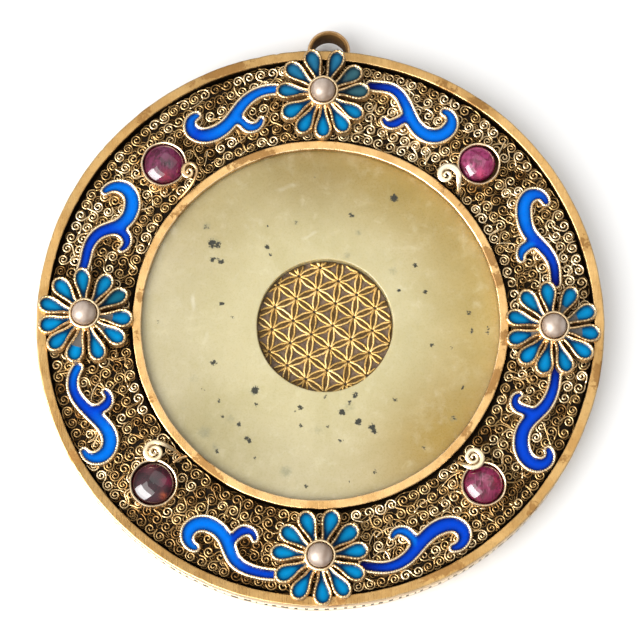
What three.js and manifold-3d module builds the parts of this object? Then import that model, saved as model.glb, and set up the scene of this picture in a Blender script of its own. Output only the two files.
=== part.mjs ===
// Jade bi disc in a gilt frame with a filigree channel, enamel flowers and scrolls, cabochons and a bail.
// Millimetres, +Z up out of the face, +Y towards the bail. Origin: centre of the underside, on which it lies.
import * as THREE from "three";
import { mergeVertices } from "three/addons/utils/BufferGeometryUtils.js";
import Module from "manifold-3d";

const wasm = await Module();
wasm.setup();

// ---- driving dimensions
const SEG = 54;            // sides of the large rounds
const R_OUT = 45;          // outer radius of the frame
const RIM_IN = 43.45;      // inner radius of the flat rim
const TOP = 6.5;           // height of the rim and of the bezel ring
const SHEET = 1.0;         // back sheet of the channel
const LEDGE = 4.0;         // height of the ledges under the filigree panel
const LEDGE_W = 0.55;      // width of those ledges
const RING_OUT = 29.8;     // bezel ring, outer radius
const RING_IN = 28.4;      // bezel ring, inner radius of its lip
const SEAT_R = 29.3;       // wall under the lip
const LIP_Z = 5.45;        // underside of the lip
const PANEL_TOP = 5.2;     // top of the filigree panel
const GAP = 0.3;           // clearance at side-by-side pieces
const JADE_R = SEAT_R - GAP;
const JADE_BOTTOM = 2.7, JADE_TOP = 5.2;
const HOLE_R = 10.8;       // hole of the disc, a little off the middle
const HOLE_X = 0.72, HOLE_Y = -0.23;
const BAIL_X = 1.4, BAIL_Y = 45.0, BAIL_R = 3.45, BAIL_STRIP = 0.7, BAIL_LOW = 1.6, BAIL_HIGH = 6.2;
const PETAL_LOW = TOP, PETAL_TOP = 7.5, PETAL_R = 7.8, PETAL_WIDE = 1.42;
const HUB_R = 2.3, CUP_R = 2.1, CUP_FLOOR = 7.0, CUP_TOP = 9.0;
const PEARL_R = 1.95, PEARL_Z = 9.15;
const SCROLL_TOP = 6.3;
const COLLET_TOP = 7.4, COLLET_WALL = 0.3, COLLET_FLOOR = 5.6, DOME_EDGE = 7.2, DOME_TOP = 8.3;
const TENDRIL_LOW = 8.0, TENDRIL_TOP = 8.45;

// ---- layout: where each flower stands, and the direction in degrees of each of its petals
const FLOWERS = {
  top: { x: 0.41, y: 37.49, petals: [106, 69, 34, 4, -31, -59, -90, -120, -150, 175, 140] },
  right: { x: 36.77, y: -1.16, petals: [97, 62, 26, -7, -37, -72, -104, -133, -165, 163, 129] },
  bottom: { x: -0.07, y: -37.39, petals: [110, 73, 39, 9, -24, -55, -86, -121, -154, 174, 143] },
  left: { x: -37.21, y: 0.81, petals: [95, 60, 31, -4, -34, -70, -104, -136, -166, 163, 129] },
};
// each scroll: start x, y, heading in degrees, length, then its curvature at even steps along it; the same for its side branch
const SCROLLS = [
  [[37.45, 6.48, 94.0, 19.35, -0.096, 0.225, 0.072, -0.218, -0.079, -0.557, -0.659], [34.26, 13.04, -164.0, 3.93, 0.088, 0.422, 0.903]],
  [[8.23, 39.19, -12.2, 20.78, 0.214, -0.345, -0.078, 0.16, 0.328, 0.338, 0.848], [14.07, 33.95, -163.5, 4.5, 0.517, -0.426, -1.102]],
  [[-6.98, 38.51, -183.8, 20.1, 0.158, 0.159, 0.116, -0.142, -0.174, -0.509, -0.757], [-13.53, 33.89, -29.1, 5.39, -0.548, 0.686, 0.628]],
  [[-37.81, 8.71, 68.0, 20.58, 0.216, -0.168, -0.267, 0.295, 0.209, 0.445, 0.323], [-33.17, 15.17, -9.7, 5.0, -0.078, -0.625, -0.711]],
  [[-38.29, -7.39, -124.7, 20.09, 0.232, 0.257, 0.072, -0.051, -0.303, -0.411, -0.611], [-36.01, -14.2, 9.4, 4.96, -0.022, 0.534, 0.993]],
  [[-7.09, -40.07, 178.2, 20.76, -0.077, -0.079, -0.292, 0.199, 0.243, 0.511, 0.551], [-14.06, -34.93, 39.7, 5.34, 0.313, -0.605, -0.833]],
  [[6.74, -38.6, -10.2, 22.02, -0.008, 0.176, 0.15, -0.085, -0.18, -0.586, -0.501], [14.95, -35.49, 108.8, 5.26, 0.148, 0.423, 0.989]],
  [[37.16, -6.75, -88.4, 22.63, -0.037, -0.111, -0.153, 0.229, 0.183, 0.459, 0.759], [33.8, -14.72, 134.4, 5.48, 0.744, -0.579, -1.249]],
];
const SCROLL_WIDTH = [1.08, 1.14, 1.26, 1.38, 1.5, 1.42, 0.9]; // half-widths at even steps, stem to tip
const BRANCH_WIDTH = [0.9, 1.05, 0.7];
// curls: radius of the last turn at its quarters, half-width there, half-width of the tail's end
const TIGHT = [[0.83, 1.0, 1.18, 1.42, 1.62], [0.3, 0.36, 0.4, 0.42, 0.4], 0.28];
const OPEN = [[0.62, 0.85, 1.0, 1.42, 2.0], [0.28, 0.36, 0.45, 0.55, 0.5], 0.27];
const EAR = [[0.55, 0.75, 0.85, 1.45, 1.25], [0.26, 0.34, 0.38, 0.3, 0.28], 0.25];
// each stone: place, outer radius of its collet, radius of the stone, then its tendril: curl, middle of the curl, exit angle, end of the tail
const STONES = [
  { x: 25.41, y: 25.78, collet: 3.5, stone: 2.83, curl: OPEN, turn: [20.12, 23.63], exit: 0, end: [22.3, 20.75] },
  { x: -25.06, y: 25.63, collet: 3.72, stone: 3.26, curl: EAR, turn: [-21.0, 24.05], exit: -10, end: [-22.7, 20.3] },
  { x: -26.06, y: -25.96, collet: 3.82, stone: 3.36, curl: TIGHT, turn: [-25.9, -21.2], exit: 78, end: [-21.75, -21.4] },
  { x: 25.49, y: -26.02, collet: 3.58, stone: 3.05, curl: TIGHT, turn: [23.86, -21.95], exit: -104, end: [21.1, -22.0] },
];

// ---- materials
const gilt = () => new THREE.MeshStandardMaterial({ color: 0xc9a15c, roughness: 0.35, metalness: 1 });
const paleGilt = () => new THREE.MeshStandardMaterial({ color: 0xdcc193, roughness: 0.3, metalness: 1 });
const darkGilt = () => new THREE.MeshStandardMaterial({ color: 0x7a5c30, roughness: 0.5, metalness: 0.8 });
const jade = () => new THREE.MeshStandardMaterial({ color: 0xd6cf9c, roughness: 0.25, metalness: 0 });
const turquoise = () => new THREE.MeshStandardMaterial({ color: 0x1d86bd, roughness: 0.15, metalness: 0 });
const cobalt = () => new THREE.MeshStandardMaterial({ color: 0x1260f0, roughness: 0.15, metalness: 0 });
const garnet = () => new THREE.MeshStandardMaterial({ color: 0x7d1840, roughness: 0.08, metalness: 0 });
const pearl = () => new THREE.MeshStandardMaterial({ color: 0xcbbfb8, roughness: 0.25, metalness: 0 });

const group = new THREE.Group();
const add = (name, geometry, material) => {
  const mesh = new THREE.Mesh(geometry, material);
  mesh.name = name;
  group.add(mesh);
  return mesh;
};

// ---- helpers
const rad = (deg) => (deg * Math.PI) / 180;

// a closed ring or body turned about +Z from [radius, height] pairs that run counter-clockwise in the half-plane
function turned(points, segments, closed) {
  const list = closed ? [...points, points[0]] : points;
  const geometry = new THREE.LatheGeometry(list.map(([r, z]) => new THREE.Vector2(r, z)), segments);
  geometry.rotateX(Math.PI / 2); // lathe axis +Y to +Z
  return geometry;
}

// a prism from an outline in XY between two heights
function prism(points, low, high, hole) {
  const shape = new THREE.Shape(points.map(([x, y]) => new THREE.Vector2(x, y)));
  if (hole) shape.holes.push(new THREE.Path(hole.map(([x, y]) => new THREE.Vector2(x, y))));
  const geometry = new THREE.ExtrudeGeometry(shape, { depth: high - low, bevelEnabled: false, steps: 1 });
  geometry.translate(0, 0, low);
  return geometry;
}

const circle = (cx, cy, r, n, start = 0) =>
  Array.from({ length: n }, (_, i) => [cx + r * Math.cos(start + (2 * Math.PI * i) / n), cy + r * Math.sin(start + (2 * Math.PI * i) / n)]);

function toManifold(geometry) {
  const bare = geometry.clone();
  bare.deleteAttribute("normal");
  bare.deleteAttribute("uv");
  const merged = mergeVertices(bare, 1e-4);
  return new wasm.Manifold(new wasm.Mesh({
    numProp: 3,
    vertProperties: new Float32Array(merged.attributes.position.array),
    triVerts: new Uint32Array(merged.index.array),
  }));
}

function fromManifold(solid) {
  const mesh = solid.getMesh();
  const geometry = new THREE.BufferGeometry();
  geometry.setAttribute("position", new THREE.BufferAttribute(new Float32Array(mesh.vertProperties), 3));
  geometry.setIndex(new THREE.BufferAttribute(new Uint32Array(mesh.triVerts), 1));
  geometry.computeVertexNormals();
  return geometry;
}

const joined = (...geometries) => geometries.map(toManifold).reduce((a, b) => a.add(b));

const along = (values, t) => {
  const at = t * (values.length - 1), i = Math.min(values.length - 2, Math.floor(at));
  return values[i] + (values[i + 1] - values[i]) * (at - i);
};

// a curve whose curvature changes evenly between the given values: points and headings at n + 1 even steps
function bend([x, y, heading, length, ...curvature], n) {
  const fine = 8, points = [];
  let angle = rad(heading);
  for (let i = 0; i <= n * fine; i++) {
    if (i % fine === 0) points.push([x, y, angle, i / (n * fine)]);
    const step = length / (n * fine), turn = along(curvature, Math.min(1, (i + 0.5) / (n * fine))) * step;
    x += Math.cos(angle + turn / 2) * step;
    y += Math.sin(angle + turn / 2) * step;
    angle += turn;
  }
  return points;
}

// the outline of a ribbon round such a curve, with a round end
function ribbon(points, widths, cap = 3) {
  const left = [], right = [];
  for (const [x, y, a, t] of points) {
    const w = along(widths, t);
    left.push([x - Math.sin(a) * w, y + Math.cos(a) * w]);
    right.push([x + Math.sin(a) * w, y - Math.cos(a) * w]);
  }
  const [x, y, a] = points[points.length - 1], w = widths[widths.length - 1], tip = [];
  for (let i = 1; i <= cap; i++) {
    const b = a - Math.PI / 2 + (Math.PI * i) / (cap + 1);
    tip.push([x + Math.cos(b) * w, y + Math.sin(b) * w]);
  }
  return [...right, ...tip, ...left.reverse()];
}

// ---- frame, soldered up from three rings: the back sheet, the outer wall with its flat rim, the bezel ring with its lip
add("frame_back", turned([[SEAT_R, 0], [R_OUT, 0], [R_OUT, SHEET], [SEAT_R, SHEET]], SEG, true), gilt());
add("frame_wall", turned([
  [RIM_IN - LEDGE_W, SHEET], [R_OUT, SHEET], [R_OUT, TOP], [RIM_IN, TOP], [RIM_IN, LEDGE], [RIM_IN - LEDGE_W, LEDGE],
], SEG, true), gilt());
add("frame_bezel", turned([
  [SEAT_R, SHEET], [RING_OUT + LEDGE_W, SHEET], [RING_OUT + LEDGE_W, LEDGE], [RING_OUT, LEDGE],
  [RING_OUT, TOP], [RING_IN, TOP], [RING_IN, LIP_Z], [SEAT_R, LIP_Z],
], SEG, true), gilt());

// ---- filigree panel on the ledges
add("filigree_panel", turned([
  [RING_OUT + GAP, LEDGE], [RIM_IN - GAP, LEDGE], [RIM_IN - GAP, PANEL_TOP], [RING_OUT + GAP, PANEL_TOP],
], SEG, true), darkGilt());

// ---- back plate and jade disc
add("back_plate", turned([[0, 0], [JADE_R, 0], [JADE_R, JADE_BOTTOM], [0, JADE_BOTTOM]], SEG, false), darkGilt());
add("jade_disc", prism(circle(0, 0, JADE_R, SEG), JADE_BOTTOM, JADE_TOP, circle(HOLE_X, HOLE_Y, HOLE_R, 48).reverse()), jade());

// ---- bail: half loop of strip, its ends just clear of the wall
{
  const inner = BAIL_R - BAIL_STRIP, low = BAIL_Y + GAP, steps = 14, outline = [];
  const arc = (r, from, to) => {
    for (let i = 0; i <= steps; i++) {
      const a = from + ((to - from) * i) / steps;
      outline.push([BAIL_X + r * Math.cos(a), BAIL_Y + r * Math.sin(a)]);
    }
  };
  const o = Math.asin((low - BAIL_Y) / BAIL_R), n = Math.asin((low - BAIL_Y) / inner);
  arc(BAIL_R, o, Math.PI - o);
  arc(inner, Math.PI - n, n);
  add("bail", prism(outline, BAIL_LOW, BAIL_HIGH), gilt());
}

// ---- flowers: petals round a hub with a cup, and a pearl in each cup
const petal = (cx, cy, deg, reach) => {
  const half = [[1.7, 0.42], [3.4, 0.74], [5.1, 1.28], [6.2, PETAL_WIDE], [7.1, 1.05]], k = reach / PETAL_R;
  const c = Math.cos(rad(deg)), s = Math.sin(rad(deg));
  const put = (u, v) => [cx + u * k * c - v * s, cy + u * k * s + v * c];
  return [...half.map(([u, v]) => put(u, -v)), put(PETAL_R, 0), ...half.map(([u, v]) => put(u, v)).reverse()];
};
for (const [name, f] of Object.entries(FLOWERS)) {
  const hub = prism(circle(f.x, f.y, HUB_R, 18), PANEL_TOP, CUP_TOP);
  const cup = prism(circle(f.x, f.y, CUP_R, 18), CUP_FLOOR, CUP_TOP + 1);
  const petals = f.petals.map((deg) => prism(petal(f.x, f.y, deg, PETAL_R), PETAL_LOW, PETAL_TOP));
  add(`flower_${name}`, fromManifold(joined(hub, ...petals).subtract(toManifold(cup))), turquoise());
  const ball = new THREE.SphereGeometry(PEARL_R, 10, 7);
  ball.rotateX(Math.PI / 2);
  add(`pearl_${name}`, ball, pearl()).position.set(f.x, f.y, PEARL_Z);
}

// ---- scrolls: a ribbon with a side branch
SCROLLS.forEach(([main, branch], i) => {
  const body = prism(ribbon(bend(main, 13), SCROLL_WIDTH, 3), PANEL_TOP, SCROLL_TOP);
  const side = prism(ribbon(bend(branch, 5), BRANCH_WIDTH, 3), PANEL_TOP, SCROLL_TOP);
  add(`scroll_${i + 1}`, fromManifold(joined(body, side)), cobalt());
});

// ---- collets, stones and tendrils
STONES.forEach((s, i) => {
  const inner = s.collet - COLLET_WALL;
  add(`collet_${i + 1}`, turned([
    [0, PANEL_TOP], [s.collet, PANEL_TOP], [s.collet, COLLET_TOP], [inner, COLLET_TOP], [inner, COLLET_FLOOR], [0, COLLET_FLOOR],
  ], 18, false), paleGilt()).position.set(s.x, s.y, 0);
  const dome = [[0, COLLET_FLOOR], [s.stone, COLLET_FLOOR], [s.stone, DOME_EDGE]];
  for (let k = 1; k <= 3; k++) {
    const a = (k / 4) * (Math.PI / 2);
    dome.push([s.stone * Math.cos(a), DOME_EDGE + (DOME_TOP - DOME_EDGE) * Math.sin(a)]);
  }
  dome.push([0, DOME_TOP]);
  add(`stone_${i + 1}`, turned(dome, 16, false), garnet()).position.set(s.x, s.y, 0);

  // tendril: a closed curl whose last turn runs out into a tail, down to a small foot
  const [radii, half, tail] = s.curl, path = [], n = 11, middleR = 0.72;
  for (let k = 0; k <= n; k++) {
    const t = k / n, r = along(radii, t), a = rad(s.exit) + (1 - t) * 2 * Math.PI;
    path.push([s.turn[0] + r * Math.cos(a), s.turn[1] + r * Math.sin(a), along(half, t)]);
  }
  const [px, py] = path[path.length - 1], leave = rad(s.exit) - Math.PI / 2, reach = Math.hypot(s.end[0] - px, s.end[1] - py);
  const c1 = [px + Math.cos(leave) * reach * 0.45, py + Math.sin(leave) * reach * 0.45];
  for (let k = 1; k <= 4; k++) {
    const t = k / 4;
    path.push([
      (1 - t) ** 2 * px + 2 * t * (1 - t) * c1[0] + t * t * s.end[0],
      (1 - t) ** 2 * py + 2 * t * (1 - t) * c1[1] + t * t * s.end[1],
      half[half.length - 1] + (tail - half[half.length - 1]) * t,
    ]);
  }
  const points = path.map(([x, y], k) => {
    const a = path[Math.max(0, k - 1)], b = path[Math.min(path.length - 1, k + 1)];
    return [x, y, Math.atan2(b[1] - a[1], b[0] - a[0]), k / (path.length - 1)];
  });
  const strap = prism(ribbon(points, path.map((p) => p[2]), 2), TENDRIL_LOW, TENDRIL_TOP);
  const middle = prism(circle(...s.turn, middleR, 8, 0.1), TENDRIL_LOW, TENDRIL_TOP);
  const foot = prism(circle(s.end[0], s.end[1], 0.26, 8, 0.2), PANEL_TOP, TENDRIL_LOW + 0.2);
  add(`tendril_${i + 1}`, fromManifold(joined(strap, middle, foot)), paleGilt());
});

export default group;
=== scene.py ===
# Jade bi disc in a gilt filigree and enamel frame: the looks of every surface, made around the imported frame.
# Lengths are written in millimetres and scaled by MM on the way into a mesh.
import math
import random

import bpy
import bmesh
import numpy as np
from mathutils import Matrix, Vector
from mathutils.geometry import delaunay_2d_cdt


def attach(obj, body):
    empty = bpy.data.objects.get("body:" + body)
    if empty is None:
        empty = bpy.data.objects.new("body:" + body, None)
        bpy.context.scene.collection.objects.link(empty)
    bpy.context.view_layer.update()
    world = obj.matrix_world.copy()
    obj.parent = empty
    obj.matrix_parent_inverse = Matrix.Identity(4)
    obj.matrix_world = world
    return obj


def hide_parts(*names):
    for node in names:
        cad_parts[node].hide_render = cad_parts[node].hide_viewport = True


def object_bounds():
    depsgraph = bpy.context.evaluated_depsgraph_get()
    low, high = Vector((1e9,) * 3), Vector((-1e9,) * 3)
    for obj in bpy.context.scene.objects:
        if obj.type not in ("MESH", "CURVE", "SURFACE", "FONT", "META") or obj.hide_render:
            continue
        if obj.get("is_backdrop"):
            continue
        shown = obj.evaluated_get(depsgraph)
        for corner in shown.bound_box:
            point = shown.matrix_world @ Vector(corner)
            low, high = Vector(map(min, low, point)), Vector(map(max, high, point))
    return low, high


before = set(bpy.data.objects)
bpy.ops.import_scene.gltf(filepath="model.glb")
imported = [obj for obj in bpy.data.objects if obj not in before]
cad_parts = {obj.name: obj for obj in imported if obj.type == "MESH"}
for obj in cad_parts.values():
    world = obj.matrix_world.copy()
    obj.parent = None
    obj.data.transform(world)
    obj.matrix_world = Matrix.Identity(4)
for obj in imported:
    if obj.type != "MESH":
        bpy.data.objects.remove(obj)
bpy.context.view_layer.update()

MM = 0.001
TAU = 2 * math.pi
rng = random.Random(41)


# ------------------------------------------------------------------ camera, light, floor
AZ, EL, DIST, PX_MM = -2.0, 78.0, 420.0, 6.22        # view of the photograph: degrees, millimetres, pixels per millimetre
ORIGIN_BELOW = 10.3                                  # the origin lies this many pixels below the middle of the frame


def view_axes():
    a, e = math.radians(AZ), math.radians(EL)
    d = Vector((math.sin(a) * math.cos(e), -math.cos(a) * math.cos(e), math.sin(e)))
    right = Vector((0, 1, 0)).cross(d).normalized()
    return d, right, d.cross(right)


def add_camera():
    d, right, up = view_axes()
    place = d * DIST
    target = up * (ORIGIN_BELOW / PX_MM)
    back = (place - target).normalized()
    side = Vector((0, 1, 0)).cross(back).normalized()
    top = back.cross(side)
    data = bpy.data.cameras.new("camera")
    data.sensor_width = 36
    data.lens = PX_MM * DIST * 36 / 640
    data.clip_start, data.clip_end = 0.01, 20
    cam = bpy.data.objects.new("camera", data)
    bpy.context.scene.collection.objects.link(cam)
    m = Matrix((side, top, back)).transposed().to_4x4()
    m.translation = place * MM
    cam.matrix_world = m
    bpy.context.scene.camera = cam


def area_light(name, toward, dist, size, radiance, colour=(1, 1, 1), glossy_only=False):
    data = bpy.data.lights.new(name, "AREA")
    data.shape = "RECTANGLE"
    data.size, data.size_y = size
    data.energy = radiance * math.pi * size[0] * size[1]
    data.color = colour
    o = bpy.data.objects.new(name, data)
    bpy.context.scene.collection.objects.link(o)
    place = Vector(toward).normalized() * dist
    o.location = place
    o.rotation_euler = place.to_track_quat("Z", "Y").to_euler()
    o.visible_camera = False
    if glossy_only:
        o.visible_diffuse = False
        o.visible_transmission = False
    return o


def polar(az, el):
    a, e = math.radians(az), math.radians(el)
    return (math.cos(a) * math.cos(e), math.sin(a) * math.cos(e), math.sin(e))


add_camera()
area_light("key", polar(218, 52), 0.60, (0.50, 0.50), 3.5, (1.0, 0.985, 0.955))
area_light("window", polar(214, 34), 0.55, (0.52, 0.52), 12.0, (1, 1, 1), glossy_only=True)
area_light("top_fill", polar(60, 66), 0.90, (0.8, 0.6), 0.8, (1, 1, 1))

world = bpy.data.worlds.new("studio")
bpy.context.scene.world = world
world.use_nodes = True
wt = world.node_tree
wt.nodes.clear()
w_out = wt.nodes.new("ShaderNodeOutputWorld")
w_bg = wt.nodes.new("ShaderNodeBackground")
w_tc = wt.nodes.new("ShaderNodeTexCoord")
w_dot = wt.nodes.new("ShaderNodeVectorMath")
w_dot.operation = "DOT_PRODUCT"
w_dot.inputs[1].default_value = Vector((-0.30, -0.22, 0.93)).normalized()
w_ramp = wt.nodes.new("ShaderNodeValToRGB")
w_map = wt.nodes.new("ShaderNodeMapRange")
w_map.inputs["From Min"].default_value = -1
w_map.inputs["From Max"].default_value = 1
wt.links.new(w_tc.outputs["Generated"], w_dot.inputs[0])
wt.links.new(w_dot.outputs["Value"], w_map.inputs["Value"])
wt.links.new(w_map.outputs["Result"], w_ramp.inputs["Fac"])
wt.links.new(w_ramp.outputs["Color"], w_bg.inputs["Color"])
wt.links.new(w_bg.outputs["Background"], w_out.inputs["Surface"])
ramp = w_ramp.color_ramp
ramp.elements[0].position, ramp.elements[0].color = 0.0, (0.25, 0.25, 0.25, 1)
ramp.elements[1].position, ramp.elements[1].color = 1.0, (1.05, 1.05, 1.05, 1)
for at, value in ((0.50, 0.22), (0.70, 0.38), (0.86, 0.80)):
    e = ramp.elements.new(at)
    e.color = (value, value, value, 1)
bpy.context.scene.view_settings.view_transform = "Standard"


# ------------------------------------------------------------------ materials
class Mat:
    """A principled material and short names for the nodes that feed it. Coordinates are in millimetres."""

    def __init__(self, name, **sockets):
        self.m = bpy.data.materials.new(name)
        self.m.use_nodes = True
        self.t = self.m.node_tree
        self.t.nodes.clear()
        out = self.t.nodes.new("ShaderNodeOutputMaterial")
        self.p = self.t.nodes.new("ShaderNodeBsdfPrincipled")
        self.link(self.p.outputs[0], out.inputs[0])
        for k, v in sockets.items():
            self.p.inputs[k.replace("_", " ")].default_value = v
        self.tc = self.t.nodes.new("ShaderNodeTexCoord").outputs["Object"]

    def link(self, a, b):
        self.t.links.new(a, b)

    def put(self, socket, value):
        if isinstance(value, bpy.types.NodeSocket):
            self.link(value, socket)
        else:
            socket.default_value = value

    def mm(self, scale=(1, 1, 1), rot=0.0):
        n = self.t.nodes.new("ShaderNodeMapping")
        self.link(self.tc, n.inputs["Vector"])
        n.inputs["Rotation"].default_value = (0, 0, math.radians(rot))
        n.inputs["Scale"].default_value = tuple(s * 1000 for s in scale)
        return n.outputs[0]

    def noise(self, vec, scale=1.0, detail=3.0, rough=0.5, distort=0.0):
        n = self.t.nodes.new("ShaderNodeTexNoise")
        self.link(vec, n.inputs["Vector"])
        n.inputs["Scale"].default_value = scale
        n.inputs["Detail"].default_value = detail
        n.inputs["Roughness"].default_value = rough
        n.inputs["Distortion"].default_value = distort
        return n.outputs[0]

    def voronoi(self, vec, scale=1.0, feature="F1"):
        n = self.t.nodes.new("ShaderNodeTexVoronoi")
        n.feature = feature
        self.link(vec, n.inputs["Vector"])
        n.inputs["Scale"].default_value = scale
        return n.outputs["Distance"]

    def ramp(self, fac, stops):
        n = self.t.nodes.new("ShaderNodeValToRGB")
        self.put(n.inputs["Fac"], fac)
        r = n.color_ramp
        r.elements[0].position, r.elements[0].color = stops[0][0], (*stops[0][1], 1)
        r.elements[1].position, r.elements[1].color = stops[-1][0], (*stops[-1][1], 1)
        for at, colour in stops[1:-1]:
            r.elements.new(at).color = (*colour, 1)
        return n.outputs["Color"]

    def grey(self, fac, a, b, low=0.0, high=1.0):
        n = self.t.nodes.new("ShaderNodeMapRange")
        self.put(n.inputs["Value"], fac)
        n.inputs["From Min"].default_value = a
        n.inputs["From Max"].default_value = b
        n.inputs["To Min"].default_value = low
        n.inputs["To Max"].default_value = high
        n.interpolation_type = "SMOOTHSTEP"
        return n.outputs[0]

    def mix(self, fac, a, b, blend="MIX"):
        n = self.t.nodes.new("ShaderNodeMix")
        n.data_type = "RGBA"
        n.blend_type = blend
        self.put(n.inputs[0], fac)
        self.put(n.inputs[6], a if isinstance(a, bpy.types.NodeSocket) else (*a, 1))
        self.put(n.inputs[7], b if isinstance(b, bpy.types.NodeSocket) else (*b, 1))
        return n.outputs[2]

    def math(self, op, a, b=0.0, clamp=False):
        n = self.t.nodes.new("ShaderNodeMath")
        n.operation = op
        n.use_clamp = clamp
        self.put(n.inputs[0], a)
        self.put(n.inputs[1], b)
        return n.outputs[0]

    def tone(self):
        """The three channels of the piece's own painted attribute."""
        n = self.t.nodes.new("ShaderNodeAttribute")
        n.attribute_name = "tone"
        s = self.t.nodes.new("ShaderNodeSeparateColor")
        self.link(n.outputs["Color"], s.inputs[0])
        return s.outputs[0], s.outputs[1], s.outputs[2]

    def paint(self):
        n = self.t.nodes.new("ShaderNodeAttribute")
        n.attribute_name = "paint"
        return n.outputs["Color"]

    def bump(self, height, strength=0.5, distance=0.05):
        n = self.t.nodes.new("ShaderNodeBump")
        n.inputs["Strength"].default_value = strength
        n.inputs["Distance"].default_value = distance * MM
        self.link(height, n.inputs["Height"])
        self.link(n.outputs[0], self.p.inputs["Normal"])

    def set(self, **values):
        for k, v in values.items():
            self.put(self.p.inputs[k.replace("_", " ")], v)
        return self.m


def make_gilt(name, light, warm, brown, rough=0.30):
    """Worn gilding: brushed hatching, warm clouds and specks. Painted channels: brown tarnish, a pale edge that is
    partly wear and partly a painted highlight, and painted shade in black.
    """
    k = Mat(name, Metallic=1.0)
    tarnish, edge, painted_shade = k.tone()
    base = k.mm()
    cloud = k.noise(base, 0.22, 4, 0.6)
    mid = k.noise(base, 0.75, 5, 0.7, 0.6)
    fine = k.noise(base, 2.1, 5, 0.65)
    hatch_a = k.noise(k.mm((9, 0.5, 1), 38), 1.0, 2, 0.6)
    hatch_b = k.noise(k.mm((7, 0.6, 1), -52), 1.0, 2, 0.6)
    hatch = k.math("ADD", hatch_a, hatch_b)
    rag = k.math("ADD", k.math("MULTIPLY", k.math("SUBTRACT", mid, 0.5), 1.9), k.math("MULTIPLY", k.math("SUBTRACT", fine, 0.5), 0.9))
    stain = k.grey(k.math("ADD", rag, tarnish), 0.36, 0.66)
    ground = k.mix(k.grey(cloud, 0.35, 0.68), light, warm)
    ground = k.mix(k.grey(hatch, 0.84, 1.24, 0.0, 0.34), ground, warm)
    ground = k.mix(k.grey(mid, 0.54, 0.74, 0.0, 0.40), ground, tuple(c * 0.6 for c in warm))
    ground = k.mix(k.grey(fine, 0.60, 0.72, 0.0, 0.45), ground, brown)
    # the pale edge: partly wear, partly a painted highlight
    ground = k.mix(k.math("MULTIPLY", edge, k.grey(fine, 0.30, 0.55, 0.35, 0.85)), ground, (0.92, 0.72, 0.44))
    ground = k.mix(1.0, ground, k.mix(1.0, k.paint(), (2.0, 2.0, 2.0), "MULTIPLY"), "MULTIPLY")
    colour = k.mix(k.math("MULTIPLY", stain, 0.84), ground, k.mix(fine, (0.30, 0.155, 0.048), brown))
    # painted shade: near black where the third channel is high
    colour = k.mix(painted_shade, colour, (0.012, 0.007, 0.003))
    r = k.math("ADD", k.grey(hatch, 0.7, 1.3, rough - 0.06, rough + 0.14), k.math("MULTIPLY", stain, 0.18))
    k.bump(k.math("ADD", hatch, k.math("MULTIPLY", fine, 0.8)), 0.30, 0.03)
    return k.set(Base_Color=colour, Roughness=k.math("ADD", r, k.math("MULTIPLY", painted_shade, 0.3)))


def make_wire(name, dark, mid, light, rough=0.30):
    """Wire: first channel is painted shade in the grooves and on the low side of the wire, second how pale the metal
    is.
    """
    k = Mat(name, Metallic=1.0)
    groove, pale, _ = k.tone()
    base = k.mm()
    fine = k.noise(base, 3.0, 4, 0.6)
    broad = k.noise(base, 0.35, 3, 0.6)
    shade = k.math("ADD", pale, k.math("MULTIPLY", k.math("SUBTRACT", broad, 0.5), 0.7), True)
    colour = k.ramp(shade, [(0.0, dark), (0.5, mid), (1.0, light)])
    # painted shade: darker in the grooves and on the low side, broken up by noise
    painted_shade = k.grey(k.math("ADD", groove, k.math("MULTIPLY", fine, 0.4)), 0.55, 1.15)
    colour = k.mix(painted_shade, colour, tuple(c * 0.22 for c in dark))
    r = k.grey(fine, 0.3, 0.7, rough - 0.07, rough + 0.12)
    k.bump(fine, 0.35, 0.03)
    return k.set(Base_Color=colour, Roughness=k.math("ADD", r, k.math("MULTIPLY", painted_shade, 0.3)))


def make_enamel(name, rough=0.14):
    """Glass fused in a cell: painted colour, faint clouds and pinholes. Painted channels: worn away, shaded at the cell's edge, glossy lip."""
    k = Mat(name, Metallic=0.0, IOR=1.5)
    worn, shade, gloss = k.tone()
    base = k.mm()
    cloud = k.noise(base, 0.9, 4, 0.55)
    fine = k.noise(base, 6.0, 3, 0.6)
    colour = k.mix(k.grey(cloud, 0.3, 0.7, 0.0, 0.30), k.paint(), k.mix(1.0, k.paint(), (0.55, 0.72, 0.82), "MULTIPLY"))
    colour = k.mix(k.grey(fine, 0.60, 0.74, 0.0, 0.22), colour, (0.0, 0.02, 0.10))
    colour = k.mix(k.math("MULTIPLY", shade, 0.95), colour, k.mix(1.0, k.paint(), (0.05, 0.07, 0.13), "MULTIPLY"))
    bare = k.grey(k.math("ADD", worn, k.math("MULTIPLY", k.math("SUBTRACT", cloud, 0.5), 0.8)), 0.45, 0.62)
    colour = k.mix(bare, colour, k.mix(fine, (0.05, 0.055, 0.06), (0.20, 0.19, 0.18)))
    k.bump(k.math("ADD", cloud, k.math("MULTIPLY", fine, 0.15)), 0.22, 0.06)
    return k.set(Base_Color=colour, Roughness=k.grey(bare, 0, 1, rough, 0.5), Specular_IOR_Level=k.grey(gloss, 0.15, 0.9, 0.035, 0.75))


GILT = make_gilt("gilt", (0.76, 0.475, 0.185), (0.56, 0.315, 0.105), (0.17, 0.080, 0.022))
# a darker gilt for the back plate; on the flanks of the cells and trays it is painted shade
BACK = make_gilt("gilt_back", (0.50, 0.34, 0.16), (0.38, 0.23, 0.09), (0.12, 0.06, 0.02), 0.42)
FILI = make_wire("filigree_wire", (0.115, 0.058, 0.018), (0.36, 0.235, 0.098), (0.80, 0.64, 0.40), 0.30)
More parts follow.
